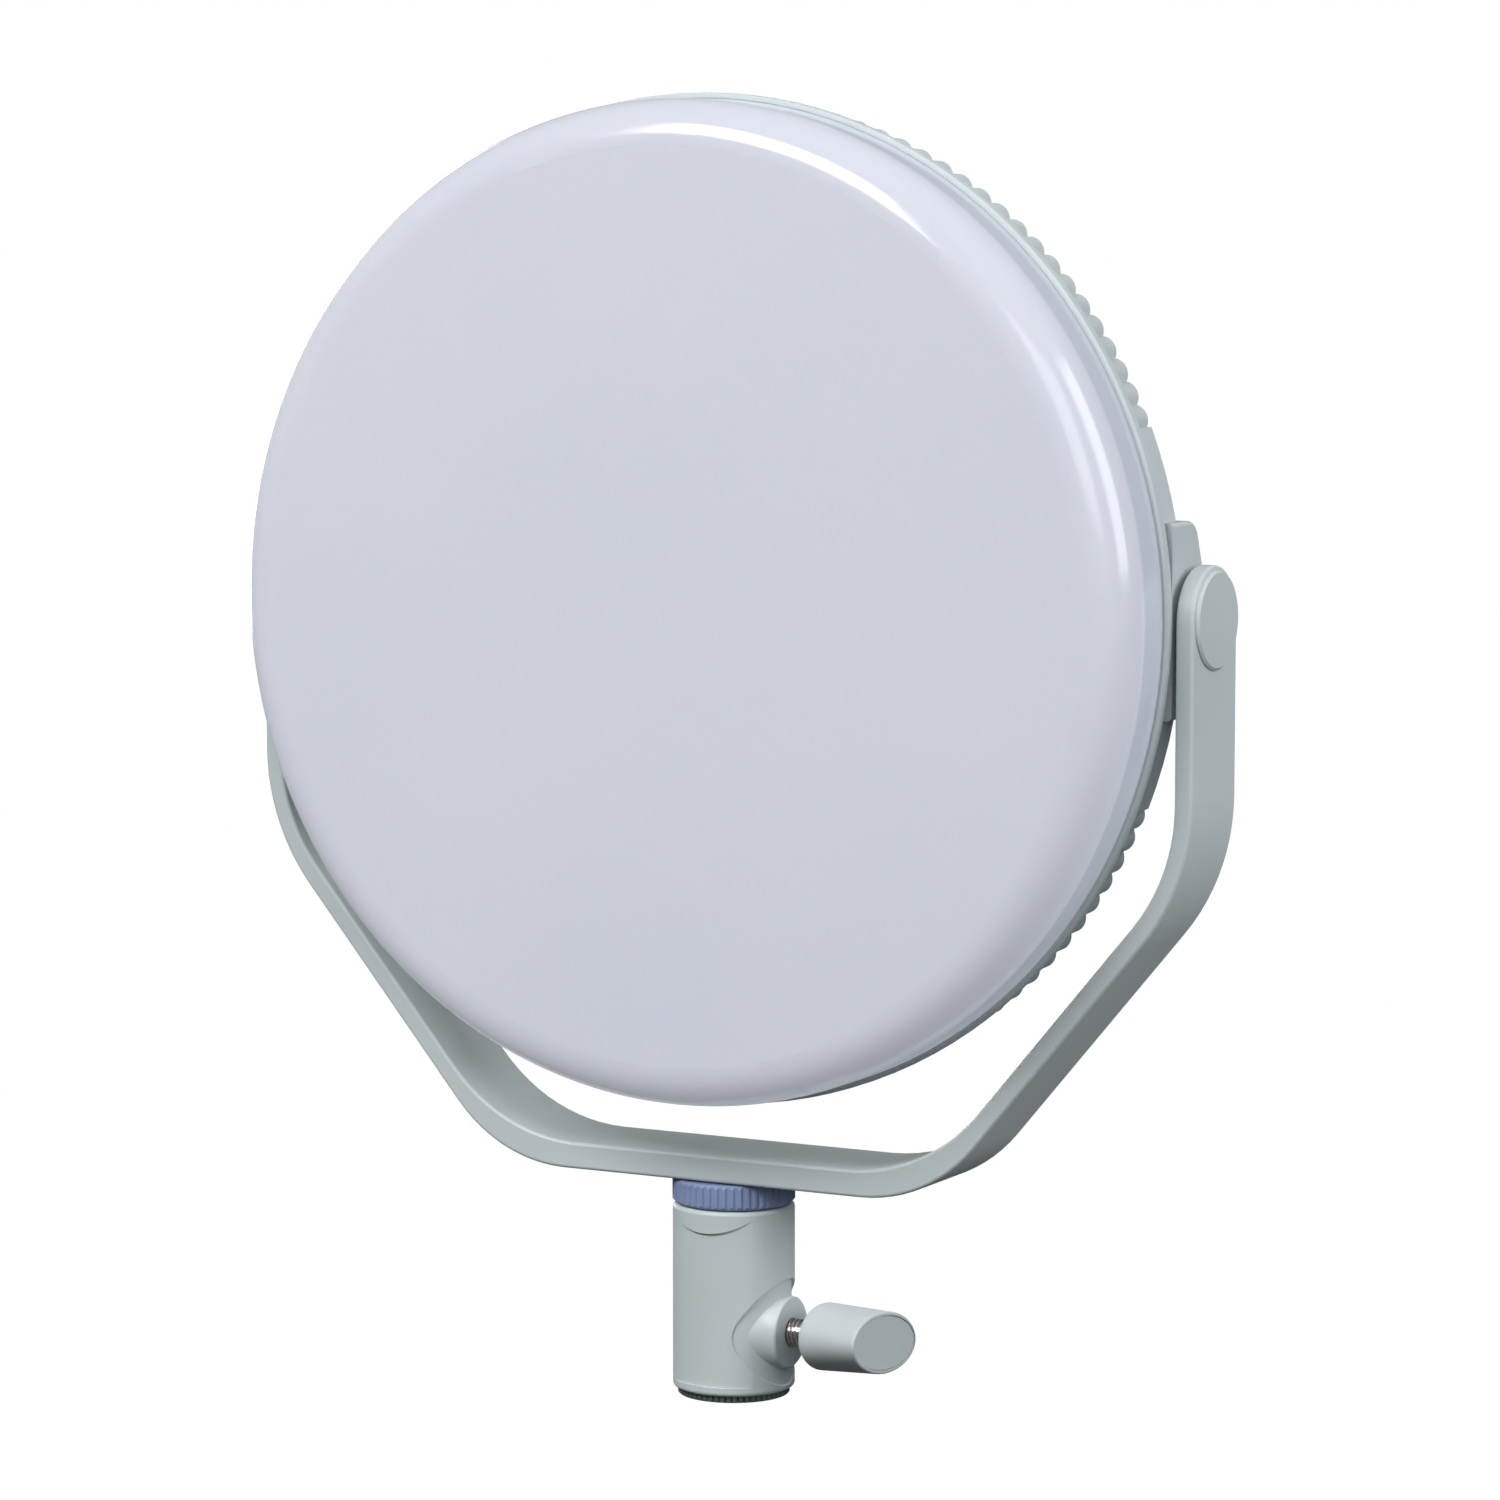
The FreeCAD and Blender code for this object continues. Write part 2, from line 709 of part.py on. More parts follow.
def clamp_knob_shape():
    near_oval = oval(size("knob_near_width"), size("knob_near_height"), size("knob_near"))
    far_oval = oval(size("knob_far_width"), size("knob_far_height"), size("knob_far"))
    solid = Part.makeLoft([near_oval, far_oval], True, True)
    inner_end = [edge for edge in solid.Edges if near(edge.BoundBox.XMax, "knob_near")]
    solid = solid.makeFillet(size("knob_near_edge"), inner_end)
    outer_end = [edge for edge in solid.Edges if near(edge.BoundBox.XMin, "knob_far")]
    solid = solid.makeFillet(size("knob_far_edge"), outer_end)
    rim = size("knob_rim")
    floor = size("knob_far") - size("knob_recess")
    recess = Part.Face(oval(size("knob_far_width"), size("knob_far_height"), floor, rim))
    axis = Vector(0, 0, size("clamp_height"))
    hole = rod(amount("clamp_screw_radius + seat_gap"), axis,
               axis + Vector(amount("knob_near + knob_hole_depth"), 0, 0))
    return solid.cut(recess.extrude(Vector(size("knob_recess") + rim, 0, 0))).cut(hole)


def knob_cap_shape():
    floor = size("knob_far") - size("knob_recess")
    plate = Part.Face(oval(size("knob_far_width"), size("knob_far_height"), floor,
                           amount("knob_rim + seat_gap")))
    solid = plate.extrude(Vector(size("knob_cap_thickness"), 0, 0))
    front = [edge for edge in solid.Edges if edge.BoundBox.XMin > floor + size("knob_cap_thickness") / 2]
    return solid.makeFillet(size("knob_cap_thickness") / 4, front)


shaped("clamp_knob", clamp_knob_shape())
shaped("knob_cap", knob_cap_shape())

# Lock ring and the pan bearing

lock = new_body("lock_ring")
spin(lock, outline(lock, "XZ_Plane", [
    ("neck_radius + running_gap", "ring_bottom"),
    ("ring_radius - ring_chamfer", "ring_bottom"),
    ("ring_radius", "ring_bottom + ring_chamfer"),
    ("ring_radius", "ring_top - ring_chamfer"),
    ("ring_radius - ring_chamfer", "ring_top"),
    ("neck_radius + running_gap", "ring_top"),
]))
groove = circles(lock, "XY_Plane", [
    ("ring_radius + ring_groove_radius - ring_groove_depth", "0", "ring_groove_radius")])
around(lock, cut(lock, groove, "ring_top + cut_overrun", back=True), "Z_Axis", "ring_groove_count")

washer = new_body("pan_washer")
spin(washer, block(washer, "XZ_Plane", "pan_bolt_radius + running_gap", "neck_radius",
                   "neck_top", "neck_top + pan_washer_thickness"))

bush = new_body("pan_bush")
spin(bush, outline(bush, "XZ_Plane", [
    ("pan_bolt_radius + running_gap", "bar_bottom + seat_gap"),
    ("pan_bolt_radius + pan_bush_wall", "bar_bottom + seat_gap"),
    ("pan_bolt_radius + pan_bush_wall", "bar_bottom + pan_floor"),
    ("pan_flange_radius", "bar_bottom + pan_floor"),
    ("pan_flange_radius", "bar_bottom + pan_floor + pan_flange_thickness"),
    ("pan_bolt_radius + running_gap", "bar_bottom + pan_floor + pan_flange_thickness"),
]))

wave_low = "bar_bottom + pan_floor + pan_flange_thickness + body_gap"
wave_high = wave_low + " + spring_washer_thickness"
wave = new_body("pan_spring_washer")
spin(wave, block(wave, "XZ_Plane", "pan_bolt_radius + seat_gap", "spring_washer_radius", wave_low, wave_high))

bolt = new_body("pan_bolt")
spin(bolt, outline(bolt, "XZ_Plane", [
    ("0", "thread_floor + seat_gap"),
    ("pan_bolt_radius", "thread_floor + seat_gap"),
    ("pan_bolt_radius", wave_high),
    ("pan_head_radius", wave_high),
    ("pan_head_radius", wave_high + " + pan_head_height"),
    ("0", wave_high + " + pan_head_height"),
]))
cut(bolt, circles(bolt, "XY_Plane", [("0", "0", "pan_socket_radius")],
                  along=wave_high + " + pan_head_height"), "pan_socket_depth")


# Yoke strap: one bent flat bar, thicker across the middle

def yoke_corners():
    """Corners of the strap's right half, outside and inside, before the bends."""
    slope = math.radians(size("slant_angle"))
    outside = size("arm_outside")
    inside = size("arm_inside")
    low = size("bar_bottom")
    high = size("bar_top")
    corner = size("slant_corner_height")
    foot = outside - (corner - low) / math.tan(slope)
    # the inside slant lies one slant thickness away from the outside one
    rise = size("slant_thickness") / math.cos(slope)
    inner_corner = corner + rise - size("arm_thickness") * math.tan(slope)
    inner_foot = inside - (inner_corner - high) / math.tan(slope)
    outer = [(outside, corner), (foot, low)]
    inner = [(inside, inner_corner), (inner_foot, high)]
    return outer, inner


def yoke_shape():
    outer, inner = yoke_corners()
    half = size("strap_half_width")
    top = size("pivot_height") + half
    outside = size("arm_outside")
    inside = size("arm_inside")
    right = [(outside, top)] + outer
    left = [(-x, z) for x, z in reversed(right)]
    back = [(-inside, top)] + [(-x, z) for x, z in inner]
    home = [(x, z) for x, z in reversed(inner)] + [(inside, top)]
    corners = [Vector(x, -half, z) for x, z in right + left + back + home]
    profile = Part.Face(Part.makePolygon(corners + corners[:1]))
    solid = profile.extrude(Vector(0, 2 * half, 0))

    def bend(solid, points, radius):
        chosen = [edge for edge in solid.Edges if any(
            Vector(abs(middle(edge).x) - x, 0, middle(edge).z - z).Length < size("seat_gap")
            for x, z in points) and edge.BoundBox.YLength > half]
        return solid.makeFillet(radius, chosen)

    solid = bend(solid, [outer[0]], size("high_bend_outside"))
    solid = bend(solid, [inner[0]], size("high_bend_inside"))
    solid = bend(solid, [outer[1]], size("low_bend_outside"))
    solid = bend(solid, [inner[1]], size("low_bend_inside"))
    # round arm ends about the pivot
    pivot = size("pivot_height")
    corners = box(Vector(-2 * outside, -2 * half, pivot), Vector(2 * outside, 2 * half, top + half))
    ends = rod(half, Vector(-2 * outside, 0, pivot), Vector(2 * outside, 0, pivot))
    solid = solid.cut(corners.cut(ends))
    edge_radius = size("strap_edge")
    long_edges = [edge for edge in solid.Edges if edge.BoundBox.YLength < 2 * half - edge_radius
                  and edge.BoundBox.XLength + edge.BoundBox.ZLength > edge_radius]
    side_edges = [edge for edge in long_edges if abs(abs(middle(edge).y) - half) < size("seat_gap")]
    end_edges = [edge for edge in solid.Edges if is_round(edge, "strap_half_width")]
    return solid.makeFillet(edge_radius, side_edges + end_edges)


def yoke_cuts(solid):
    half = size("strap_half_width")
    high = size("bar_top")
    low = size("bar_bottom")
    reach = size("cover_half_length")
    up = Vector(0, 0, 1)
    seat_low = Vector(-reach, -2 * half, high - size("cover_thickness"))
    seat = box(seat_low, Vector(reach, 2 * half, high + half))
    solid = solid.cut(seat)
    floor = Vector(0, 0, amount("bar_bottom + pan_floor"))
    solid = solid.cut(Part.makeCylinder(size("pan_pocket_radius"), high, floor, up))
    bush_hole = amount("pan_bolt_radius + pan_bush_wall + seat_gap")
    solid = solid.cut(Part.makeCylinder(bush_hole, high, Vector(0, 0, 0), up))
    for side in (-1, 1):
        spot = Vector(side * size("cover_peg_place"), 0, high - amount("cover_peg_length + seat_gap"))
        solid = solid.cut(Part.makeCylinder(amount("cover_peg_radius + seat_gap"), high - low, spot, up))
        pivot = Vector(0, 0, size("pivot_height"))
        face = side * size("arm_outside")
        pocket = face - side * amount("arm_thickness - pivot_floor")
        solid = solid.cut(rod(amount("pivot_bolt_radius + pivot_bush_wall + seat_gap"), pivot,
                              pivot + Vector(2 * face, 0, 0)))
        solid = solid.cut(rod(size("pivot_pocket_radius"), pivot + Vector(pocket, 0, 0),
                              pivot + Vector(2 * face, 0, 0)))
    return solid.removeSplitter()


shaped("yoke", yoke_cuts(yoke_shape()))


def bar_cover_shape():
    half = size("strap_half_width")
    reach = size("cover_half_length") - size("seat_gap")
    high = size("bar_top")
    low = high - size("cover_thickness")
    solid = box(Vector(-reach, -half, low), Vector(reach, half, high))
    long_edges = [edge for edge in solid.Edges if edge.BoundBox.XLength > reach
                  and near(middle(edge).z, "bar_top")]
    solid = solid.makeFillet(size("strap_edge"), long_edges)
    for side in (-1, 1):
        top = Vector(side * size("cover_peg_place"), 0, high - size("cover_thickness") / 2)
        tip = Vector(top.x, 0, high - size("cover_peg_length"))
        solid = solid.fuse(rod(size("cover_peg_radius"), top, tip))
    return solid.removeSplitter()


shaped("bar_cover", bar_cover_shape())


# Pivots, one for each side of the head

def on_side(side, profile):
    """Revolves a profile of (distance from the pivot axis, x) about the pivot axis."""
    points = [Vector(side * across, 0, away) for away, across in profile]
    face = Part.Face(Part.makePolygon(points + points[:1]))
    return face.revolve(Vector(0, 0, 0), Vector(1, 0, 0), 360)


def pivot_cap(side):
    outside = size("arm_outside")
    face = outside + size("cap_thickness")
    edge = size("cap_edge")
    radius = size("cap_radius")
    skirt = amount("pivot_pocket_radius - running_gap")
    return on_side(side, [
        (0, outside),
        (0, face),
        (radius - edge, face),
        (radius, face - edge),
        (radius, outside),
        (skirt, outside),
        (skirt, outside - size("cap_skirt_length")),
        (skirt - size("cap_skirt_wall"), outside - size("cap_skirt_length")),
        (skirt - size("cap_skirt_wall"), outside),
    ])


def pivot_bush(side):
    inside = size("arm_inside")
    bore = amount("pivot_bolt_radius + running_gap")
    return on_side(side, [
        (bore, inside),
        (amount("pivot_bolt_radius + pivot_bush_wall"), inside),
        (amount("pivot_bolt_radius + pivot_bush_wall"), inside + size("pivot_floor")),
        (bore, inside + size("pivot_floor")),
    ])


def pivot_bolt(side):
    under_head = amount("arm_inside + pivot_floor + seat_gap + seat_gap")
    face = under_head + size("pivot_head_height")
    socket = size("pivot_bolt_radius") / 2
    return on_side(side, [
        (0, under_head - size("pivot_bolt_reach")),
        (size("pivot_bolt_radius"), under_head - size("pivot_bolt_reach")),
        (size("pivot_bolt_radius"), under_head),
        (size("pivot_head_radius"), under_head),
        (size("pivot_head_radius"), face - size("seat_gap")),
        (socket, face - size("seat_gap")),
        (socket, face - size("pivot_head_height") / 2),
        (0, face - size("pivot_head_height") / 2),
    ])


def pivot_washer(side):
    face = amount("pad_outside")
    bore = amount("pivot_bolt_radius + seat_gap")
    radius = size("pivot_washer_radius")
    outer = amount("arm_inside - body_gap")
    return on_side(side, [(bore, face), (radius, face), (radius, outer), (bore, outer)])


def pivot_insert(side):
    face = amount("pad_outside")
    bore = amount("pivot_bolt_radius + seat_gap")
    radius = size("pivot_insert_radius")
    return on_side(side, [
        (bore, face - size("pivot_insert_length")),
        (radius, face - size("pivot_insert_length")),
        (radius, face),
        (bore, face),
    ])


for name, side in (("right", 1), ("left", -1)):
    shaped("pivot_cap_" + name, pivot_cap(side), up="pivot_height")
    shaped("pivot_bush_" + name, pivot_bush(side), up="pivot_height")
    shaped("pivot_bolt_" + name, pivot_bolt(side), up="pivot_height")
    shaped("pivot_washer_" + name, pivot_washer(side), up="pivot_height")
    shaped("pivot_insert_" + name, pivot_insert(side), up="pivot_height")

# Head. Every piece is drawn about the pivot, with the light's own axis along Y,
# and is then lifted to the pivot's height.

def turned(profile):
    """Revolves a profile of (radius, depth) about the head's axis."""
    points = [Vector(radius, depth, 0) for radius, depth in profile]
    face = Part.Face(Part.makePolygon(points + points[:1]))
    return face.revolve(Vector(0, 0, 0), Vector(0, 1, 0), 360)


def on_circle(radius, degrees, depth=0.0):
    """A point of the head's face at an angle from +X towards +Z."""
    angle = math.radians(degrees)
    return Vector(radius * math.cos(angle), depth, radius * math.sin(angle))


def swung(shape, degrees):
    """A copy turned about the head's axis, from +X towards +Z."""
    copy = shape.copy()
    copy.rotate(Vector(0, 0, 0), Vector(0, 1, 0), -degrees)
    return copy


def tab_angles():
    tab = size("tab_angle")
    return [tab, 180 - tab, 180 + tab, -tab]


def diffuser_shape():
    front = -size("diffuser_front")
    radius = size("diffuser_radius")
    bend = size("diffuser_bend")
    wall = size("diffuser_wall")
    back = -amount("rebate_back + seat_gap")
    slant = math.sqrt(0.5)

    def shell(outside, face, turn, end):
        centre = Vector(outside - turn, face + turn, 0)
        knee = centre + Vector(slant * turn, -slant * turn, 0)
        start = Vector(centre.x, face, 0)
        stop = Vector(outside, centre.y, 0)
        curve = Part.Arc(start, knee, stop).toShape()
        rest = Part.makePolygon([stop, Vector(outside, end, 0), Vector(0, end, 0), Vector(0, face, 0), start])
        face = Part.Face(Part.Wire([curve] + rest.Edges))
        return face.revolve(Vector(0, 0, 0), Vector(0, 1, 0), 360)

    solid = shell(radius, front, bend, back)
    solid = solid.cut(shell(radius - wall, front + wall, bend - wall, back + wall))
    half = size("tab_half_width")
    tab = box(Vector(size("tab_inside"), back - wall, -half),
              Vector(size("tab_outside"), back + size("tab_length"), half))
    lug = tab.common(turned([(size("tab_inside"), back - wall), (radius - wall / 2, back - wall),
                             (radius - wall / 2, back + wall + size("tab_length")),
                             (size("tab_inside"), back + wall + size("tab_length"))]))
    return solid.multiFuse([swung(lug, angle) for angle in tab_angles()]).removeSplitter()


shaped("diffuser", diffuser_shape(), up="pivot_height")


def rib_wire(depth, radius, dip):
    """Outline of the housing's side: ribs above and below, smooth beside the pivots."""
    pitch = 360 / size("rib_count")
    ribs = int((180 - 2 * size("rib_limit_angle")) / pitch)
    first = 90 - ribs * pitch / 2
    edges = []
    for half in (0, 180):
        start = half + first
        edges.append(Part.makeLine(on_circle(radius, start, depth), on_circle(radius - dip, start, depth)))
        for index in range(ribs):
            angle = start + index * pitch
            crest = on_circle(radius, angle + pitch / 2, depth)
            edges.append(Part.Arc(on_circle(radius - dip, angle, depth), crest,
                                  on_circle(radius - dip, angle + pitch, depth)).toShape())
        end = start + ribs * pitch
        edges.append(Part.makeLine(on_circle(radius - dip, end, depth), on_circle(radius, end, depth)))
        smooth = Part.Arc(on_circle(radius, end, depth), on_circle(radius, half + 180, depth),
                          on_circle(radius, half + 180 + first, depth))
        edges.append(smooth.toShape())
    return Part.Wire(edges)


def pivot_pad(side):
    """Raised pad that the yoke arm turns against, narrower at its top and bottom."""
    high = size("pad_half_height")
    waist = size("pad_waist_height")
    points = [(-size("pad_front"), -high), (size("pad_top_back"), -high), (size("pad_back"), -waist),
              (size("pad_back"), waist), (size("pad_top_back"), high), (-size("pad_front"), high)]
    inside = side * size("pad_inside")
    corners = [Vector(inside, depth, up) for depth, up in points]
    face = Part.Face(Part.makePolygon(corners + corners[:1]))
    reach = side * amount("pad_outside - pad_inside")
    solid = face.extrude(Vector(reach, 0, 0))
    lengthwise = [edge for edge in solid.Edges if edge.BoundBox.XLength > abs(reach) / 2
                  and middle(edge).y > 0]
    solid = solid.makeFillet(size("pad_corner"), lengthwise)
    outside = side * size("pad_outside")
    rim = [edge for edge in solid.Edges if abs(edge.CenterOfMass.x - outside) < size("seat_gap")
           and middle(edge).y > size("seat_gap") - size("pad_front")]
    return solid.makeFillet(size("pad_edge"), rim)


def housing_ring_shape():
    wires = [
        rib_wire(-size("rib_front"), size("side_radius"), size("rib_depth")),
        rib_wire(-size("shoulder_front"), size("shoulder_front_radius"), size("rib_depth")),
        rib_wire(size("shoulder_back"), size("shoulder_back_radius"), size("rib_depth")),
        rib_wire(size("back_edge"), size("back_radius"), size("rib_back_depth")),
    ]
    side = Part.makeLoft(wires, True, True)
    edge = size("rim_edge")
    rim = turned([
        (0, -size("rim_front")),
        (size("rim_radius") - edge, -size("rim_front")),
        (size("rim_radius"), -size("rim_front") + edge),
        (size("rim_radius"), -size("rim_back") - edge),
        (size("rim_radius") - edge, -size("rim_back")),
        (size("rim_groove_radius"), -size("rim_back")),
        (size("rim_groove_radius"), -size("rib_front") + edge),
        (0, -size("rib_front") + edge),
    ])
    solid = side.fuse(rim).fuse(pivot_pad(1)).fuse(pivot_pad(-1))
    over = size("cut_overrun")
    rebate = amount("diffuser_radius + rebate_gap")
    seat = amount("back_edge - seat_depth")
    flange = amount("back_edge - seat_depth - flange_thickness")
    solid = solid.cut(turned([
        (0, -size("rim_front") - over),
        (rebate, -size("rim_front") - over),
        (rebate, -size("rebate_back")),
        (size("inside_radius"), -size("rebate_back")),
        (size("inside_radius"), -size("ledge_place")),
        (size("ledge_radius"), -size("ledge_place")),
        (size("ledge_radius"), size("slope_front")),
        (size("slope_radius"), flange),
        (size("flange_inner_radius"), flange),
        (size("flange_inner_radius"), seat),
        (size("seat_radius"), seat),
        (size("seat_radius"), size("back_edge") + over),
        (0, size("back_edge") + over),
    ]))
    back = -amount("rebate_back + seat_gap")
    gap = size("tab_gap")
    half = size("tab_half_width") + gap
    pocket = box(Vector(size("inside_radius") - over, back, -half),
                 Vector(size("tab_outside") + gap, back + size("tab_length") + gap, half))
    for angle in tab_angles():
        solid = solid.cut(swung(pocket, angle))
    for sign in (-1, 1):
        beyond = Vector(2 * sign * size("pad_outside"), 0, 0)
        insert_end = Vector(sign * amount("pad_outside - pivot_insert_length - seat_gap"), 0, 0)
        floor = insert_end - Vector(sign * size("pivot_boss_floor"), 0, 0)
        wall = Vector(sign * size("inside_radius"), 0, 0)
        solid = solid.fuse(rod(size("pivot_boss_radius"), floor, wall))
        solid = solid.cut(rod(amount("pivot_insert_radius + seat_gap"), insert_end, beyond))
    length = size("rear_screw_length")
    for angle in rear_screw_angles():
        spot = on_circle(size("rear_screw_circle"), angle,
                         amount("back_edge - small_head_height - rear_screw_length - seat_gap"))
        solid = solid.cut(rod(amount("small_screw_radius + seat_gap"), spot, spot + Vector(0, length, 0)))
    return solid.removeSplitter()


def rear_screw_angles():
    count = int(size("rear_screw_count"))
    return [(index + 0.5) * 360 / count for index in range(count)]


shaped("housing_ring", housing_ring_shape(), up="pivot_height")

# Light engine: plate on the housing's ledge, board, emitters and white reflector

plate_front = "- ledge_place - plate_thickness"
board_front = plate_front + " - board_thickness"
plate = new_body("heat_plate")
spin(plate, block(plate, "XY_Plane", "0", "inside_radius - plate_gap", plate_front, "- ledge_place"))
posts = [(across, up, "standoff_radius")
         for across in ("driver_half_width - standoff_inset", "standoff_inset - driver_half_width")
         for up in ("driver_half_height - standoff_inset", "standoff_inset - driver_half_height")]
pad(plate, circles(plate, "XZ_Plane", posts, along="ledge_place"), "driver_standoff", back=True)
bores = [(across, up, "small_screw_radius + seat_gap") for across, up, radius in posts]
cut(plate, circles(plate, "XZ_Plane", bores, along="ledge_place"), "driver_standoff")
led_hole = circles(plate, "XZ_Plane", [("0", "led_screw_circle", "small_screw_radius + seat_gap")])
around(plate, cut(plate, led_hole, "ledge_place + plate_thickness", back=True), "Y_Axis", "led_screw_count")
put(plate, up="pivot_height")

led_board = new_body("led_board")
spin(led_board, block(led_board, "XY_Plane", "0", "board_radius", board_front, plate_front))
led_hole = circles(led_board, "XZ_Plane", [("0", "led_screw_circle", "small_screw_radius + seat_gap")])
board_reach = "ledge_place + plate_thickness + board_thickness"
around(led_board, cut(led_board, led_hole, board_reach, back=True), "Y_Axis", "led_screw_count")
put(led_board, up="pivot_height")

reflector = new_body("reflector")
spin(reflector, outline(reflector, "XY_Plane", [
    ("reflector_foot_radius", plate_front),
    ("inside_radius - plate_gap", plate_front),
    ("inside_radius - plate_gap", "- rebate_back"),
    ("inside_radius - plate_gap - reflector_lip", "- rebate_back"),
    ("reflector_foot_radius", plate_front + " - reflector_lip"),
]))
put(reflector, up="pivot_height")


def emitters_shape():
    half = size("led_side") / 2
    front = amount(board_front)
    chip = box(Vector(-half, front - size("led_height"), -half), Vector(half, front, half))
    chips = [chip]
    for ring in range(1, int(size("led_ring_count")) + 1):
        for index in range(6 * ring):
            copy = chip.copy()
            copy.translate(on_circle(ring * size("led_ring_pitch"), index * 60 / ring))
            chips.append(copy)
    return Part.makeCompound(chips)


def small_screw(place, head_face, length):
    """A pan-head screw along Y at (x, z) that points from its head face to -Y or +Y."""
    way = math.copysign(1, length)
    top = Vector(place.x, head_face, place.z)
    under = top + Vector(0, way * size("small_head_height"), 0)
    tip = under + Vector(0, length, 0)
    head = rod(size("small_head_radius"), top, under)
    shank = rod(size("small_screw_radius"), top, tip)
    socket = rod(size("small_socket_radius"), top, (top + under) / 2)
    return head.fuse(shank).cut(socket).removeSplitter()


def led_screws_shape():
    face = amount(board_front) - size("small_head_height")
    length = amount("board_thickness + plate_thickness")
    count = int(size("led_screw_count"))
    places = [on_circle(size("led_screw_circle"), (index + 0.5) * 360 / count) for index in range(count)]
    return Part.makeCompound([small_screw(place, face, length) for place in places])


shaped("led_emitters", emitters_shape(), up="pivot_height")
shaped("led_screws", led_screws_shape(), up="pivot_height")

# Driver electronics on posts behind the plate

driver_back = "driver_standoff + board_thickness - ledge_place"


def four_corners(across, up):
    return [Vector(x, 0, z) for x in (-across, across) for z in (-up, up)]


def driver_places():
    return four_corners(amount("driver_half_width - standoff_inset"),
                        amount("driver_half_height - standoff_inset"))


def driver_board_shape():
    back = amount(driver_back)
    across = size("driver_half_width")
    up = size("driver_half_height")
    solid = box(Vector(-across, back - size("board_thickness"), -up), Vector(across, back, up))
    along = Vector(0, size("ledge_place"), 0)
    for place in driver_places():
        solid = solid.cut(rod(amount("small_screw_radius + seat_gap"), place - along, place + along))
    return solid


def driver_screws_shape():
    face = amount(driver_back) + size("small_head_height")
    length = size("board_thickness") + size("driver_standoff") - size("small_screw_radius")
    return Part.makeCompound([small_screw(place, face, -length) for place in driver_places()])


def driver_coils_shape():
    coils = []
    for side in (-1, 1):
        foot = Vector(side * size("coil_place"), amount(driver_back), 0)
        top = foot + Vector(0, size("coil_height"), 0)
        coils.append(rod(size("coil_radius"), foot, top).cut(rod(size("coil_core_radius"), foot, top)))
    return Part.makeCompound(coils)


def driver_capacitors_shape():
    count = int(size("capacitor_count"))
    cans = []
    for index in range(count):
        foot = Vector((index - (count - 1) / 2) * size("capacitor_pitch"), amount(driver_back),
                      size("capacitor_rise"))
        cans.append(rod(size("capacitor_radius"), foot, foot + Vector(0, size("capacitor_height"), 0)))
    return Part.makeCompound(cans)


def driver_connectors_shape():
    low = Vector(-size("connector_half_width"), amount(driver_back), -size("connector_half_depth"))
    high = Vector(size("connector_half_width"), amount(driver_back) + size("connector_height"),
                  size("connector_half_depth"))
    plugs = []
    for side in (-1, 1):
        plug = box(low, high)
        plug.translate(Vector(side * size("connector_spread"), 0, -size("connector_drop")))
        plugs.append(plug)
    return Part.makeCompound(plugs)


shaped("driver_board", driver_board_shape(), up="pivot_height")
shaped("driver_screws", driver_screws_shape(), up="pivot_height")
shaped("driver_coils", driver_coils_shape(), up="pivot_height")
shaped("driver_capacitors", driver_capacitors_shape(), up="pivot_height")
shaped("driver_connectors", driver_connectors_shape(), up="pivot_height")


# Rear cover, a shallow dish with vent slots above and below the pod

def pod_screw_places():
    across = size("pod_post_across")
    up = size("pod_post_up")
    return four_corners(across, up)


def rear_cover_shape():
    wall = size("seat_depth")
    back = size("back_edge")
    solid = turned([
        (0, size("dish_back") - wall),
        (size("dish_radius") - wall, size("dish_back") - wall),
        (size("dish_foot_radius") - wall, back - wall),
        (amount("seat_radius - seat_gap"), back - wall),
        (amount("seat_radius - seat_gap"), back),
        (size("dish_foot_radius"), back),
        (size("dish_radius"), size("dish_back")),
        (0, size("dish_back")),
    ])
    half = size("vent_half_width")
    inner = Vector(size("vent_inner_radius"), 0, 0)
    outer = Vector(size("vent_outer_radius"), 0, 0)
    deep = Vector(0, 2 * size("dish_back"), 0)
    slot = box(inner - Vector(0, 0, half), outer + deep + Vector(0, 0, half))
    slot = slot.fuse(rod(half, inner, inner + deep)).fuse(rod(half, outer, outer + deep))
    count = int(size("vent_count"))
    slots = []
    for centre in (90, 270):
        for index in range(count):
            slots.append(swung(slot, centre + (index - (count - 1) / 2) * size("vent_step_angle")))
    across = size("cable_window_half_width")
    up = size("cable_window_half_height")
    window = box(Vector(-across, 0, -up), Vector(across, deep.y, up))
    window.translate(Vector(0, 0, -size("pod_drop")))
    holes = slots + [window]
    for place in pod_screw_places():
        spot = place - Vector(0, 0, size("pod_drop"))
        holes.append(rod(amount("small_screw_radius + seat_gap"), spot, spot + deep))
    under_head = Vector(0, amount("back_edge - small_head_height"), 0)
    for angle in rear_screw_angles():
        spot = on_circle(size("rear_screw_circle"), angle)
        holes.append(rod(amount("small_screw_radius + seat_gap"), spot, spot + deep))
        holes.append(rod(amount("small_head_radius + running_gap"), spot + under_head, spot + deep))
    return solid.cut(holes)


def rear_screws_shape():
    places = [on_circle(size("rear_screw_circle"), angle) for angle in rear_screw_angles()]
    return Part.makeCompound([small_screw(place, size("back_edge"), -size("rear_screw_length"))
                              for place in places])


shaped("rear_cover", rear_cover_shape(), up="pivot_height")
shaped("rear_cover_screws", rear_screws_shape(), up="pivot_height")

# Electronics pod. Its pieces are drawn about its own centre, a little below the pivot.

pod_rise = "pivot_height - pod_drop"
panel_front = "pod_back - panel_thickness"
board_back = panel_front + " - control_board_setback"
button_stem_end = panel_front + " - body_gap - button_flange - button_stem"


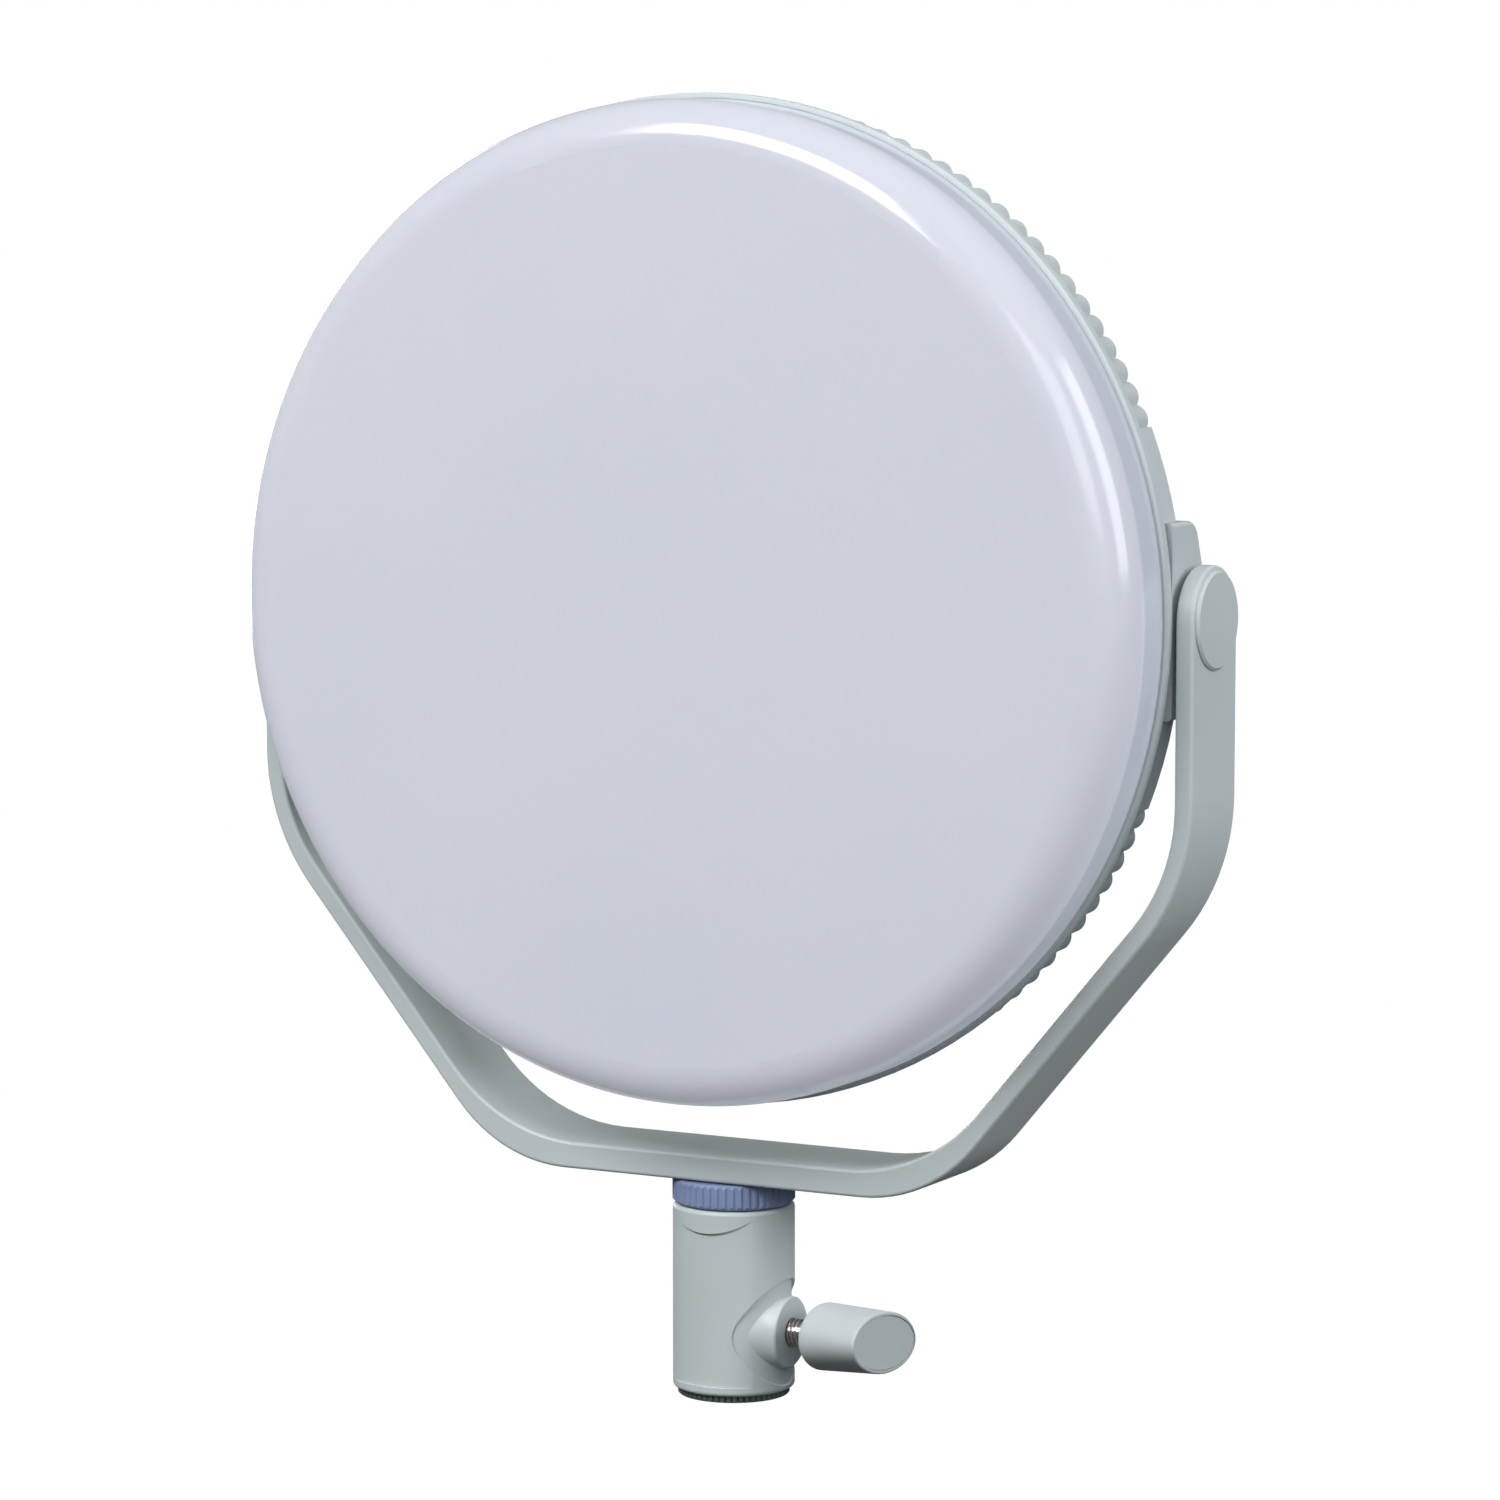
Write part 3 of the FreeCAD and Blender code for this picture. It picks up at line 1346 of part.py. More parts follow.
def flat_slot(half_width, half_height, low, high):
    """An upright bar with round ends, centred on the sockets' line."""
    line = size("socket_line")
    reach = half_width - half_height
    solid = box(Vector(-reach, line - half_height, low), Vector(reach, line + half_height, high))
    for side in (-1, 1):
        foot = Vector(side * reach, line, low)
        solid = solid.fuse(rod(half_height, foot, foot + Vector(0, 0, high - low)))
    return solid.removeSplitter()


def socket_box(place, half_width, half_depth, low, high):
    line = size("socket_line")
    return box(Vector(place - half_width, line - half_depth, low),
               Vector(place + half_width, line + half_depth, high))


def control_pod_shape():
    half_width = size("pod_half_width")
    half_height = size("pod_half_height")
    wall = size("pod_wall")
    over = size("cut_overrun")
    gap = size("seat_gap")
    front = size("dish_back")
    back = size("pod_back")
    solid = rounded_plate(half_width, half_height, size("pod_corner"), front, back, 0)
    rim = [edge for edge in solid.Edges if edge.BoundBox.YMin > back - gap]
    solid = solid.makeFillet(size("pod_edge"), rim)
    solid = solid.cut(rounded_plate(half_width - wall, half_height - wall, size("pod_corner") - wall,
                                    front - over, back - wall, 0))
    for place in pod_screw_places():
        foot = place + Vector(0, front, 0)
        solid = solid.fuse(rod(size("pod_post_radius"), foot, place + Vector(0, back - wall, 0)))
        tip = foot + Vector(0, size("pod_screw_length") - size("seat_depth") + gap, 0)
        solid = solid.cut(rod(amount("small_screw_radius + seat_gap"), foot, tip))
    ledge = size("panel_ledge")
    solid = solid.cut(rounded_plate(size("panel_half_width") + gap, size("panel_half_height") + gap,
                                    size("panel_corner") + gap, amount(panel_front), back + over, 0))
    solid = solid.cut(rounded_plate(size("panel_half_width") - ledge, size("panel_half_height") - ledge,
                                    size("panel_corner") - ledge, back - wall - over, back, 0))
    low = -half_height - over
    high = -half_height + wall + over
    solid = solid.cut(socket_box(size("rocker_place"), size("rocker_half_width") + gap,
                                 size("rocker_half_depth") + gap, low, high))
    inlet = Vector(-size("inlet_place"), size("socket_line"), low)
    solid = solid.cut(rod(size("inlet_radius") + gap, inlet, inlet + Vector(0, 0, high - low)))
    solid = solid.cut(flat_slot(size("usb_half_width") + gap, size("usb_half_height") + gap, low, high))
    return solid.removeSplitter()


def pod_screws_shape():
    face = amount("dish_back - seat_depth - small_head_height")
    return Part.makeCompound([small_screw(place, face, size("pod_screw_length"))
                              for place in pod_screw_places()])


shaped("control_pod", control_pod_shape(), up=pod_rise)
shaped("pod_screws", pod_screws_shape(), up=pod_rise)


# Control panel, set flush into the pod's back, with the display and the control board

def panel_post_places():
    return four_corners(size("panel_post_across"), size("panel_post_up"))


def button_places():
    return [Vector(side * size("button_spread"), 0, -size("button_drop")) for side in (-1, 0, 1)]


def dial_places():
    return [Vector(side * size("dial_spread"), 0, -size("dial_drop")) for side in (-1, 1)]


def control_panel_shape():
    front = amount(panel_front)
    back = size("pod_back")
    over = size("cut_overrun")
    solid = rounded_plate(size("panel_half_width"), size("panel_half_height"), size("panel_corner"),
                          front, back, 0)
    for place in panel_post_places():
        foot = place + Vector(0, amount(board_back), 0)
        solid = solid.fuse(rod(size("panel_post_radius"), foot, place + Vector(0, front, 0)))
        reach = amount("panel_screw_length - board_thickness + seat_gap")
        solid = solid.cut(rod(amount("small_screw_radius + seat_gap"), foot, foot + Vector(0, reach, 0)))
    rise = size("window_rise")
    gap = size("seat_gap")
    across = size("window_half_width")
    up = size("window_half_height")
    solid = solid.cut(rounded_plate(across + gap, up + gap, size("window_corner") + gap,
                                    back - size("window_thickness"), back + over, rise))
    across = across - size("window_ledge")
    up = up - size("window_ledge")
    solid = solid.cut(box(Vector(-across, front - over, rise - up), Vector(across, back, rise + up)))
    for place in button_places():
        solid = solid.cut(rod(amount("button_radius + body_gap"), place, place + Vector(0, back + over, 0)))
    for place in dial_places():
        solid = solid.cut(rod(amount("shaft_radius + body_gap"), place, place + Vector(0, back + over, 0)))
    return solid.removeSplitter()


def display_window_shape():
    back = size("pod_back")
    return rounded_plate(size("window_half_width"), size("window_half_height"), size("window_corner"),
                         back - size("window_thickness"), back, size("window_rise"))


def display_module_shape():
    across = size("display_half_width")
    up = size("display_half_height")
    front = amount(panel_front)
    rise = size("window_rise")
    rear = front - size("display_thickness")
    return box(Vector(-across, rear, rise - up), Vector(across, front, rise + up))


def control_board_shape():
    back = amount(board_back)
    solid = rounded_plate(size("control_board_half_width"), size("control_board_half_height"),
                          size("control_board_corner"), back - size("board_thickness"), back, 0)
    for place in panel_post_places():
        solid = solid.cut(rod(amount("small_screw_radius + seat_gap"), place, place + Vector(0, 2 * back, 0)))
    return solid


def control_screws_shape():
    face = amount(board_back) - amount("board_thickness + small_head_height")
    return Part.makeCompound([small_screw(place, face, size("panel_screw_length"))
                              for place in panel_post_places()])


def tact_switches_shape():
    half = size("switch_half_side")
    foot = amount(board_back)
    top = amount(button_stem_end + " - button_travel - body_gap")
    switches = []
    for place in button_places():
        switches.append(box(place + Vector(-half, foot, -half), place + Vector(half, top, half)))
    return Part.makeCompound(switches)


def rotary_encoders_shape():
    half = size("encoder_half_side")
    foot = amount(board_back)
    top = foot + size("encoder_height")
    housings = []
    for place in dial_places():
        housing = box(place + Vector(-half, foot, -half), place + Vector(half, top, half))
        bore = rod(amount("shaft_radius + running_gap"), place + Vector(0, foot + size("encoder_floor"), 0),
                   place + Vector(0, 2 * top, 0))
        housings.append(housing.cut(bore))
    return Part.makeCompound(housings)


shaped("control_panel", control_panel_shape(), up=pod_rise)
shaped("display_window", display_window_shape(), up=pod_rise)
shaped("display_module", display_module_shape(), up=pod_rise)
shaped("control_board", control_board_shape(), up=pod_rise)
shaped("control_screws", control_screws_shape(), up=pod_rise)
shaped("tact_switches", tact_switches_shape(), up=pod_rise)
shaped("rotary_encoders", rotary_encoders_shape(), up=pod_rise)

# Dials with their shafts, and the buttons

dial_low = "pod_back + body_gap"
dial_high = dial_low + " + dial_height"
shaft_low = board_back + " + encoder_floor + body_gap"
shaft_high = dial_low + " + shaft_grip"
for name, across in (("brightness", "- dial_spread"), ("colour", "dial_spread")):
    shaft = new_body(name + "_shaft")
    spin(shaft, block(shaft, "XY_Plane", "0", "shaft_radius", shaft_low, shaft_high))
    put(shaft, across=across, up=pod_rise + " - dial_drop")
    dial = new_body(name + "_dial")
    spin(dial, outline(dial, "XY_Plane", [
        ("shaft_radius + seat_gap", dial_low),
        ("dial_radius", dial_low),
        ("dial_radius", dial_high + " - dial_edge"),
        ("dial_radius - dial_edge", dial_high),
        ("dial_recess_radius", dial_high),
        ("dial_recess_radius", dial_high + " - dial_recess_depth"),
        ("0", dial_high + " - dial_recess_depth"),
        ("0", shaft_high + " + seat_gap"),
        ("shaft_radius + seat_gap", shaft_high + " + seat_gap"),
    ]))
    groove = circles(dial, "XZ_Plane", [("dial_radius", "0", "dial_groove_radius")])
    around(dial, cut(dial, groove, dial_high), "Y_Axis", "dial_groove_count")
    put(dial, across=across, up=pod_rise + " - dial_drop")

flange_high = panel_front + " - body_gap"
flange_low = flange_high + " - button_flange"
for name, across in (("back", "- button_spread"), ("mode", "0"), ("menu", "button_spread")):
    button = new_body(name + "_button")
    spin(button, outline(button, "XY_Plane", [
        ("0", button_stem_end),
        ("button_stem_radius", button_stem_end),
        ("button_stem_radius", flange_low),
        ("button_flange_radius", flange_low),
        ("button_flange_radius", flange_high),
        ("button_radius", flange_high),
        ("button_radius", "pod_back + button_proud - button_edge"),
        ("button_radius - button_edge", "pod_back + button_proud"),
        ("0", "pod_back + button_proud"),
    ]))
    put(button, across=across, up=pod_rise + " - button_drop")


# Power rocker and the sockets in the pod's underside

def rocker_frame_shape():
    half_width = size("rocker_half_width")
    half_depth = size("rocker_half_depth")
    place = size("rocker_place")
    under = -size("pod_half_height")
    face = under - size("rocker_lip_height")
    lip = size("rocker_lip")
    wall = size("rocker_wall")
    solid = socket_box(place, half_width, half_depth, under, under + size("rocker_frame_height"))
    solid = solid.fuse(socket_box(place, half_width + lip, half_depth + lip, face, under))
    solid = solid.cut(socket_box(place, half_width - wall, half_depth - wall,
                                 face, face + size("rocker_well_depth")))
    pin = Vector(place, size("socket_line"), face + size("rocker_pin_depth"))
    across = Vector(0, half_depth, 0)
    hole = rod(amount("rocker_pin_radius + running_gap"), pin - across, pin + across)
    return solid.cut(hole).removeSplitter()


def power_rocker_shape():
    half_width = amount("rocker_half_width - rocker_wall - rocker_gap")
    half_depth = amount("rocker_half_depth - rocker_wall - body_gap")
    line = size("socket_line")
    place = size("rocker_place")
    face = -size("pod_half_height") - size("rocker_lip_height")
    low = face - size("rocker_proud")
    high = low + size("rocker_thickness")
    points = [(-half_width, low), (0, low + size("rocker_dip")), (half_width, low), (half_width, high),
              (-half_width, high)]
    corners = [Vector(place + across, line - half_depth, up) for across, up in points]
    solid = Part.Face(Part.makePolygon(corners + corners[:1])).extrude(Vector(0, 2 * half_depth, 0))
    pin = Vector(place, line, face + size("rocker_pin_depth"))
    across = Vector(0, amount("rocker_half_depth - body_gap"), 0)
    return solid.fuse(rod(size("rocker_pin_radius"), pin - across, pin + across)).removeSplitter()


def dc_inlet_shape():
    foot = Vector(-size("inlet_place"), size("socket_line"), -size("pod_half_height"))
    face = foot - Vector(0, 0, size("inlet_flange_height"))
    solid = rod(size("inlet_radius"), foot, foot + Vector(0, 0, size("inlet_length")))
    solid = solid.fuse(rod(size("inlet_flange_radius"), face, foot))
    rim = [edge for edge in solid.Edges if is_round(edge, "inlet_flange_radius")
           and edge.CenterOfMass.z < foot.z - size("seat_gap")]
    solid = solid.makeChamfer(size("inlet_flange_height") / 2, rim)
    bore = rod(size("inlet_bore_radius"), face, face + Vector(0, 0, size("inlet_bore_depth")))
    return solid.cut(bore).removeSplitter()


def inlet_pin_shape():
    face = Vector(-size("inlet_place"), size("socket_line"), -amount("pod_half_height + inlet_flange_height"))
    return rod(size("inlet_pin_radius"), face + Vector(0, 0, size("inlet_pin_setback")),
               face + Vector(0, 0, size("inlet_bore_depth")))


def usb_shell_shape():
    low = -size("pod_half_height")
    shell = size("usb_shell")
    solid = flat_slot(size("usb_half_width"), size("usb_half_height"), low, low + size("usb_length"))
    return solid.cut(flat_slot(size("usb_half_width") - shell, size("usb_half_height") - shell, low,
                               low + size("usb_length") - shell))


def usb_tongue_shape():
    low = -size("pod_half_height")
    return socket_box(0, size("usb_tongue_half_width"), size("usb_tongue_half_height"),
                      low + size("usb_tongue_setback"), low + size("usb_length") - size("usb_shell"))


shaped("rocker_frame", rocker_frame_shape(), up=pod_rise)
shaped("power_rocker", power_rocker_shape(), up=pod_rise)
shaped("dc_inlet", dc_inlet_shape(), up=pod_rise)
shaped("inlet_pin", inlet_pin_shape(), up=pod_rise)
shaped("usb_shell", usb_shell_shape(), up=pod_rise)
shaped("usb_tongue", usb_tongue_shape(), up=pod_rise)


# Every object is checked before anything is written

doc.recompute()
for item in doc.Objects:
    if "Invalid" in item.State or "Error" in item.State:
        raise RuntimeError(item.Name + " failed to recompute")
for piece in pieces:
    if piece.Shape.isNull() or not piece.Shape.isValid():
        raise RuntimeError(piece.Label + " has no valid shape")
for piece in pieces:
    piece.Shape.exportStep(f"parts/{piece.Label}.step")
    print(piece.Label, len(piece.Shape.Solids), "solid(s),", round(piece.Shape.Volume), "cubic mm")
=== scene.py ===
import math
import bpy
from mathutils import Matrix, Vector


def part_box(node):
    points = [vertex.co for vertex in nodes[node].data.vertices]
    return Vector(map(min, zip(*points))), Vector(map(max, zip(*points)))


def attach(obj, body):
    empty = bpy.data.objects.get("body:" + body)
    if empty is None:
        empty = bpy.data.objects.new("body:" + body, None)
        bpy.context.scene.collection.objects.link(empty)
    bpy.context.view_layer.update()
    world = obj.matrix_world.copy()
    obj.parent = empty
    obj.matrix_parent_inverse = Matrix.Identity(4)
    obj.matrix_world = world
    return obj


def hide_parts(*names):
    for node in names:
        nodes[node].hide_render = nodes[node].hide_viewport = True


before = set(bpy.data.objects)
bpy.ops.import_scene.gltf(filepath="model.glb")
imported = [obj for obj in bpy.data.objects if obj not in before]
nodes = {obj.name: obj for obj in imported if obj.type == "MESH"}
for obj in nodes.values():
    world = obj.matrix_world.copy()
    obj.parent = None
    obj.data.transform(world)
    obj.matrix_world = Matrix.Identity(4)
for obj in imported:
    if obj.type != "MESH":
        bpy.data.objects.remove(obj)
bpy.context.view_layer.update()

# Dressing of a round LED panel light: finishes, threads, print, lights and camera.
# X runs from arm to arm, -Y is the lit side, Z is up. The dictionaries hold millimetres and degrees.

mm = 0.001
hair = 0.01 * mm  # slack of the tests that tell one height from another


def linear(hexText):  # sRGB hex to the linear colour that Blender wants
    parts = [int(hexText[i:i + 2], 16) / 255 for i in (1, 3, 5)]
    return [p / 12.92 if p <= 0.04045 else ((p + 0.055) / 1.055) ** 2.4 for p in parts] + [1.0]


def addNode(tree, kind, inputs=None, stops=None, **settings):
    node = tree.nodes.new("ShaderNode" + kind)
    for name, value in settings.items():
        setattr(node, name, value)
    for socket, value in (inputs or {}).items():
        if isinstance(value, bpy.types.NodeSocket):
            tree.links.new(value, node.inputs[socket])
        else:
            node.inputs[socket].default_value = value
    for index, (place, tone) in enumerate(stops or []):
        ramp = node.color_ramp.elements
        stop = ramp[index] if index < len(ramp) else ramp.new(place)
        stop.position = place
        stop.color = linear(tone)
    return node


def makeFinish(name, look, **shaderInputs):
    # the base of every finish: a slow drift of tone, a grain in bump, and gloss that follows the grain
    material = bpy.data.materials.new(name)
    material.use_nodes = True
    tree = material.node_tree
    tree.nodes.clear()
    place = addNode(tree, "TexCoord").outputs["Object"]
    laid = addNode(tree, "Mapping", {"Vector": place, "Scale": look.get("stretch", (1, 1, 1))}).outputs[0]
    drift = addNode(tree, "TexNoise", {"Vector": place, "Scale": 1 / (look["patch"] * mm), "Detail": 3})
    tint = addNode(tree, "ValToRGB", {"Fac": drift.outputs["Fac"]},
                   stops=[(0.3, look["tones"][0]), (0.7, look["tones"][1])])
    grain = addNode(tree, "TexNoise", {"Vector": laid, "Scale": 1 / (look["grain"] * mm), "Detail": 2})
    gloss = addNode(tree, "MapRange", {"Value": grain.outputs["Fac"], "From Min": 0.3, "From Max": 0.7,
                                       "To Min": look["rough"][0], "To Max": look["rough"][1]})
    bump = addNode(tree, "Bump", {"Height": grain.outputs["Fac"], "Distance": look["height"] * mm})
    shader = addNode(tree, "BsdfPrincipled", {"Base Color": tint.outputs["Color"],
                                              "Roughness": gloss.outputs["Result"],
                                              "Normal": bump.outputs["Normal"], **shaderInputs})
    addNode(tree, "OutputMaterial", {"Surface": shader.outputs["BSDF"]})
    return material


def shaderOf(material):
    return next(node for node in material.node_tree.nodes if node.type == "BSDF_PRINCIPLED")


print("finishes")

# powder coat on aluminium: satin, with the soft orange peel that the cured powder leaves
powderCoat = makeFinish("powderCoatedAluminium", {
    "tones": ("#BDC7C8", "#C3CDCE"), "patch": 45, "grain": 1.6, "height": 0.012, "rough": (0.38, 0.5)},
    IOR=1.5)

# spark-eroded mould texture in grey ABS; the real grain is 0.2 mm, drawn at 0.7 so that it shows
greyAbs = makeFinish("mouldedGreyAbs", {
    "tones": ("#BAC3C5", "#C0C9CB"), "patch": 30, "grain": 0.7, "height": 0.02, "rough": (0.45, 0.58)},
    IOR=1.53)

# knurled ring moulded in blue ABS
blueAbs = makeFinish("mouldedBlueAbs", {
    "tones": ("#7C8CB0", "#8494B8"), "patch": 9, "grain": 0.6, "height": 0.015, "rough": (0.4, 0.55)},
    IOR=1.53)

# black ABS with a fine matt mould texture
blackAbs = makeFinish("mouldedBlackAbs", {
    "tones": ("#1D1F21", "#242628"), "patch": 14, "grain": 0.5, "height": 0.02, "rough": (0.42, 0.6)},
    IOR=1.53)

# keys in mid grey silicone-coated ABS, soft and nearly matt
softKey = makeFinish("softTouchGreyKeys", {
    "tones": ("#7F8688", "#868D8F"), "patch": 3, "grain": 0.3, "height": 0.01, "rough": (0.55, 0.7)},
    IOR=1.45)

# zinc-plated and passivated steel: cloudy bright metal
zincSteel = makeFinish("zincPlatedSteel", {
    "tones": ("#B4B5B6", "#CACBCB"), "patch": 2.5, "grain": 0.5, "height": 0.004, "rough": (0.24, 0.4)},
    Metallic=1)

# rolled thread in bright stainless steel, with fine lines drawn along its turns
threadSteel = makeFinish("rolledStainlessThread", {
    "tones": ("#C9BFBD", "#DAD3D1"), "patch": 3, "grain": 0.25, "height": 0.004, "rough": (0.16, 0.3),
    "stretch": (4, 1, 1)}, Metallic=1)

# hard-anodised aluminium sleeve: dark greenish grey with a dry sheen
darkSleeve = makeFinish("hardAnodisedSleeve", {
    "tones": ("#5C6867", "#687473"), "patch": 6, "grain": 0.3, "height": 0.006, "rough": (0.38, 0.52)},
    Metallic=0.5)

# turned brass insert with tool lines round it
turnedBrass = makeFinish("turnedBrass", {
    "tones": ("#C8A35A", "#D6B36C"), "patch": 4, "grain": 0.3, "height": 0.005, "rough": (0.22, 0.36),
    "stretch": (6, 1, 1)}, Metallic=1)

# machined acetal bush, waxy and off-white
acetal = makeFinish("machinedAcetal", {
    "tones": ("#DCDAD2", "#E4E2DB"), "patch": 5, "grain": 0.4, "height": 0.005, "rough": (0.32, 0.44),
    "stretch": (1, 1, 5)}, IOR=1.48)

# milled aluminium plate: straight cutter lines along X
milledAluminium = makeFinish("milledAluminium", {
    "tones": ("#BDBFC0", "#CDCFD0"), "patch": 20, "grain": 1.2, "height": 0.008, "rough": (0.28, 0.42),
    "stretch": (0.04, 1, 1)}, Metallic=1)

# white solder mask on the LED board and the white film on the reflector
whiteMask = makeFinish("whiteSolderMask", {
    "tones": ("#E6E8E6", "#F0F1EF"), "patch": 12, "grain": 0.6, "height": 0.006, "rough": (0.3, 0.42)},
    IOR=1.5)

# cured phosphor gel over the emitters: grainy yellow
phosphor = makeFinish("phosphorGel", {
    "tones": ("#E5C65B", "#F0D676"), "patch": 1.2, "grain": 0.2, "height": 0.01, "rough": (0.35, 0.5)},
    IOR=1.41)

# green solder mask; the copper tracks under it are drawn as a stretched grain 0.05 mm high
greenMask = makeFinish("greenSolderMask", {
    "tones": ("#1F5B3A", "#2A7048"), "patch": 2.4, "grain": 1.4, "height": 0.05, "rough": (0.26, 0.4),
    "stretch": (0.25, 1, 1)}, IOR=1.5)

# enamelled winding wire, 0.4 mm, wound round each core
copperWire = makeFinish("enamelledCopperWinding", {
    "tones": ("#A8572E", "#C06B3C"), "patch": 3, "grain": 0.4, "height": 0.06, "rough": (0.25, 0.4),
    "stretch": (1, 6, 1)}, Metallic=0.9)

# shrunk sleeve of the capacitors
capSleeve = makeFinish("shrunkPvcSleeve", {
    "tones": ("#2B3038", "#343A44"), "patch": 4, "grain": 0.8, "height": 0.01, "rough": (0.25, 0.4)},
    IOR=1.53)

# natural nylon of the connector shells
nylon = makeFinish("mouldedNylon", {
    "tones": ("#E1DDCF", "#E9E6DB"), "patch": 3, "grain": 0.3, "height": 0.008, "rough": (0.38, 0.5)},
    IOR=1.53)

# smoked acrylic window over the display, polished and slightly hazed by wiping
smokedAcrylic = makeFinish("smokedAcrylicWindow", {
    "tones": ("#767D84", "#7E858C"), "patch": 12, "grain": 2.5, "height": 0.001, "rough": (0.04, 0.1)},
    IOR=1.49, **{"Transmission Weight": 0.85})

# screen-printed ink, thin and flat
whiteInk = makeFinish("screenPrintedWhiteInk", {
    "tones": ("#D5D8D9", "#E3E5E5"), "patch": 1.5, "grain": 0.25, "height": 0.004, "rough": (0.45, 0.6)},
    IOR=1.5)
darkInk = makeFinish("screenPrintedDarkInk", {
    "tones": ("#43494B", "#4E5557"), "patch": 1.5, "grain": 0.25, "height": 0.004, "rough": (0.45, 0.6)},
    IOR=1.5)

# lit characters of the display, pale cyan
litGlyphs = makeFinish("litDisplayGlyphs", {
    "tones": ("#BFE6F2", "#CBEFF8"), "patch": 2, "grain": 0.4, "height": 0.001, "rough": (0.5, 0.6)},
    **{"Emission Color": linear("#A9E2F5"), "Emission Strength": 5.5})

# woven dust mesh behind the vents: two sets of wires that cross; the gaps between the wires are painted near
# black, as painted shade seen through the mesh
woven = {"tones": ("#15171A", "#1C1F22"), "patch": 8, "grain": 0.4, "height": 0.01, "rough": (0.5, 0.65),
         "pitch": 0.9, "wireRise": 0.2, "gapShadeTone": (0.55, "#0A0B0C"), "wireTone": (0.85, "#4A4E52")}
bandRate = 20  # a wave texture of scale 1 runs through this many radians in a metre
dustMesh = makeFinish("wovenDustMesh", woven, Metallic=0.3)
tree = dustMesh.node_tree
base = shaderOf(dustMesh)
place = addNode(tree, "TexCoord").outputs["Object"]
wires = [addNode(tree, "TexWave", {"Vector": place, "Scale": math.tau / (bandRate * woven["pitch"] * mm)},
                 wave_type="BANDS", bands_direction=axis).outputs["Fac"] for axis in ("X", "Z")]
weave = addNode(tree, "Math", {0: wires[0], 1: wires[1]}, operation="MAXIMUM").outputs[0]
# painted shade: the gaps between the wires get a near-black tone, the wires their own grey
tone = addNode(tree, "ValToRGB", {"Fac": weave}, stops=[woven["gapShadeTone"], woven["wireTone"]])
tree.links.new(tone.outputs["Color"], base.inputs["Base Color"])
raised = addNode(tree, "Bump", {"Height": weave, "Distance": woven["wireRise"] * mm})
tree.links.new(raised.outputs["Normal"], base.inputs["Normal"])

# opal acrylic, vacuum formed: light soaks in and comes out evenly. That evenness is painted light: the acrylic
# glows with its own tone, fitted to the photograph under these lamps, where the glow gives about two fifths of
# the brightness of the front.
# From seatStarts back, where the housing's rim stands close behind it, the tone is painted a little darker:
# painted shade of the rim behind the acrylic.
opal = {"tones": ("#A4A7B0", "#A7A9B1"), "patch": 90, "grain": 0.8, "height": 0.004, "rough": (0.13, 0.18),
        "seatStarts": -28.4, "seatBlend": 0.6, "seatShadeTone": "#969BA4", "glow": 0.7}
opalAcrylic = makeFinish("formedOpalAcrylic", opal, IOR=1.49, **{
    "Subsurface Weight": 0.3, "Subsurface Radius": (0.006, 0.006, 0.007), "Subsurface Scale": 0.5})
tree = opalAcrylic.node_tree
base = shaderOf(opalAcrylic)
tint = base.inputs["Base Color"].links[0].from_socket
depth = addNode(tree, "SeparateXYZ", {0: addNode(tree, "TexCoord").outputs["Object"]}).outputs["Y"]
seat = addNode(tree, "MapRange", {"Value": depth, "From Min": (opal["seatStarts"] - opal["seatBlend"]) * mm,
                                  "From Max": (opal["seatStarts"] + opal["seatBlend"]) * mm})
# painted shade: behind seatStarts the tint blends into a darker tone, where the housing rim stands behind the
# acrylic
seatShadeTint = addNode(tree, "Mix", {0: seat.outputs["Result"], 6: tint, 7: linear(opal["seatShadeTone"])},
                 data_type="RGBA")
tree.links.new(seatShadeTint.outputs[2], base.inputs["Base Color"])
# painted light: the same tint also drives a glow of the opal's own tone
tree.links.new(seatShadeTint.outputs[2], base.inputs["Emission Color"])
base.inputs["Emission Strength"].default_value = opal["glow"]

finishOf = {
    "receiver yoke bar_cover pivot_cap_right pivot_cap_left": powderCoat,
    "housing_ring rear_cover control_pod clamp_knob knob_cap": greyAbs,
    "lock_ring": blueAbs,
    "diffuser": opalAcrylic,
    "control_panel brightness_dial colour_dial tact_switches rotary_encoders rocker_frame": blackAbs,
    "power_rocker dc_inlet display_module": blackAbs,
    "back_button mode_button menu_button": softKey,
    "clamp_screw": threadSteel,
    "pressure_shoe pan_bolt pan_washer pan_spring_washer pivot_bolt_right pivot_bolt_left": zincSteel,
    "pivot_washer_right pivot_washer_left led_screws driver_screws rear_cover_screws pod_screws": zincSteel,
    "control_screws brightness_shaft colour_shaft inlet_pin usb_shell": zincSteel,
    "stud_sleeve": darkSleeve,
    "pivot_insert_right pivot_insert_left": turnedBrass,
    "pan_bush pivot_bush_right pivot_bush_left": acetal,
    "heat_plate": milledAluminium,
    "led_board reflector": whiteMask,
    "led_emitters": phosphor,
    "driver_board control_board": greenMask,
    "driver_coils": copperWire,
    "driver_capacitors": capSleeve,
    "driver_connectors usb_tongue": nylon,
    "display_window": smokedAcrylic,
}
for names, finish in finishOf.items():
    for name in names.split():
        for slot in nodes[name].material_slots:
            slot.material = finish


# Modelling steps that several pieces share

def startPiece(name):  # the primitive just added, with its place moved into its mesh
    piece = bpy.context.object
    piece.name = piece.data.name = name
    bpy.ops.object.transform_apply(location=True, rotation=True, scale=True)
    return piece


def clearPick():
    if bpy.context.object and bpy.context.object.mode != "OBJECT":
        bpy.ops.object.mode_set(mode="OBJECT")
    bpy.ops.object.select_all(action="DESELECT")


def pickFaces(piece, test):
    bpy.ops.object.mode_set(mode="EDIT")
    bpy.ops.mesh.select_mode(type="FACE")
    bpy.ops.mesh.select_all(action="DESELECT")
    bpy.ops.object.mode_set(mode="OBJECT")
    for face in piece.data.polygons:
        face.select = test(face.center, face.normal)
    bpy.ops.object.mode_set(mode="EDIT")


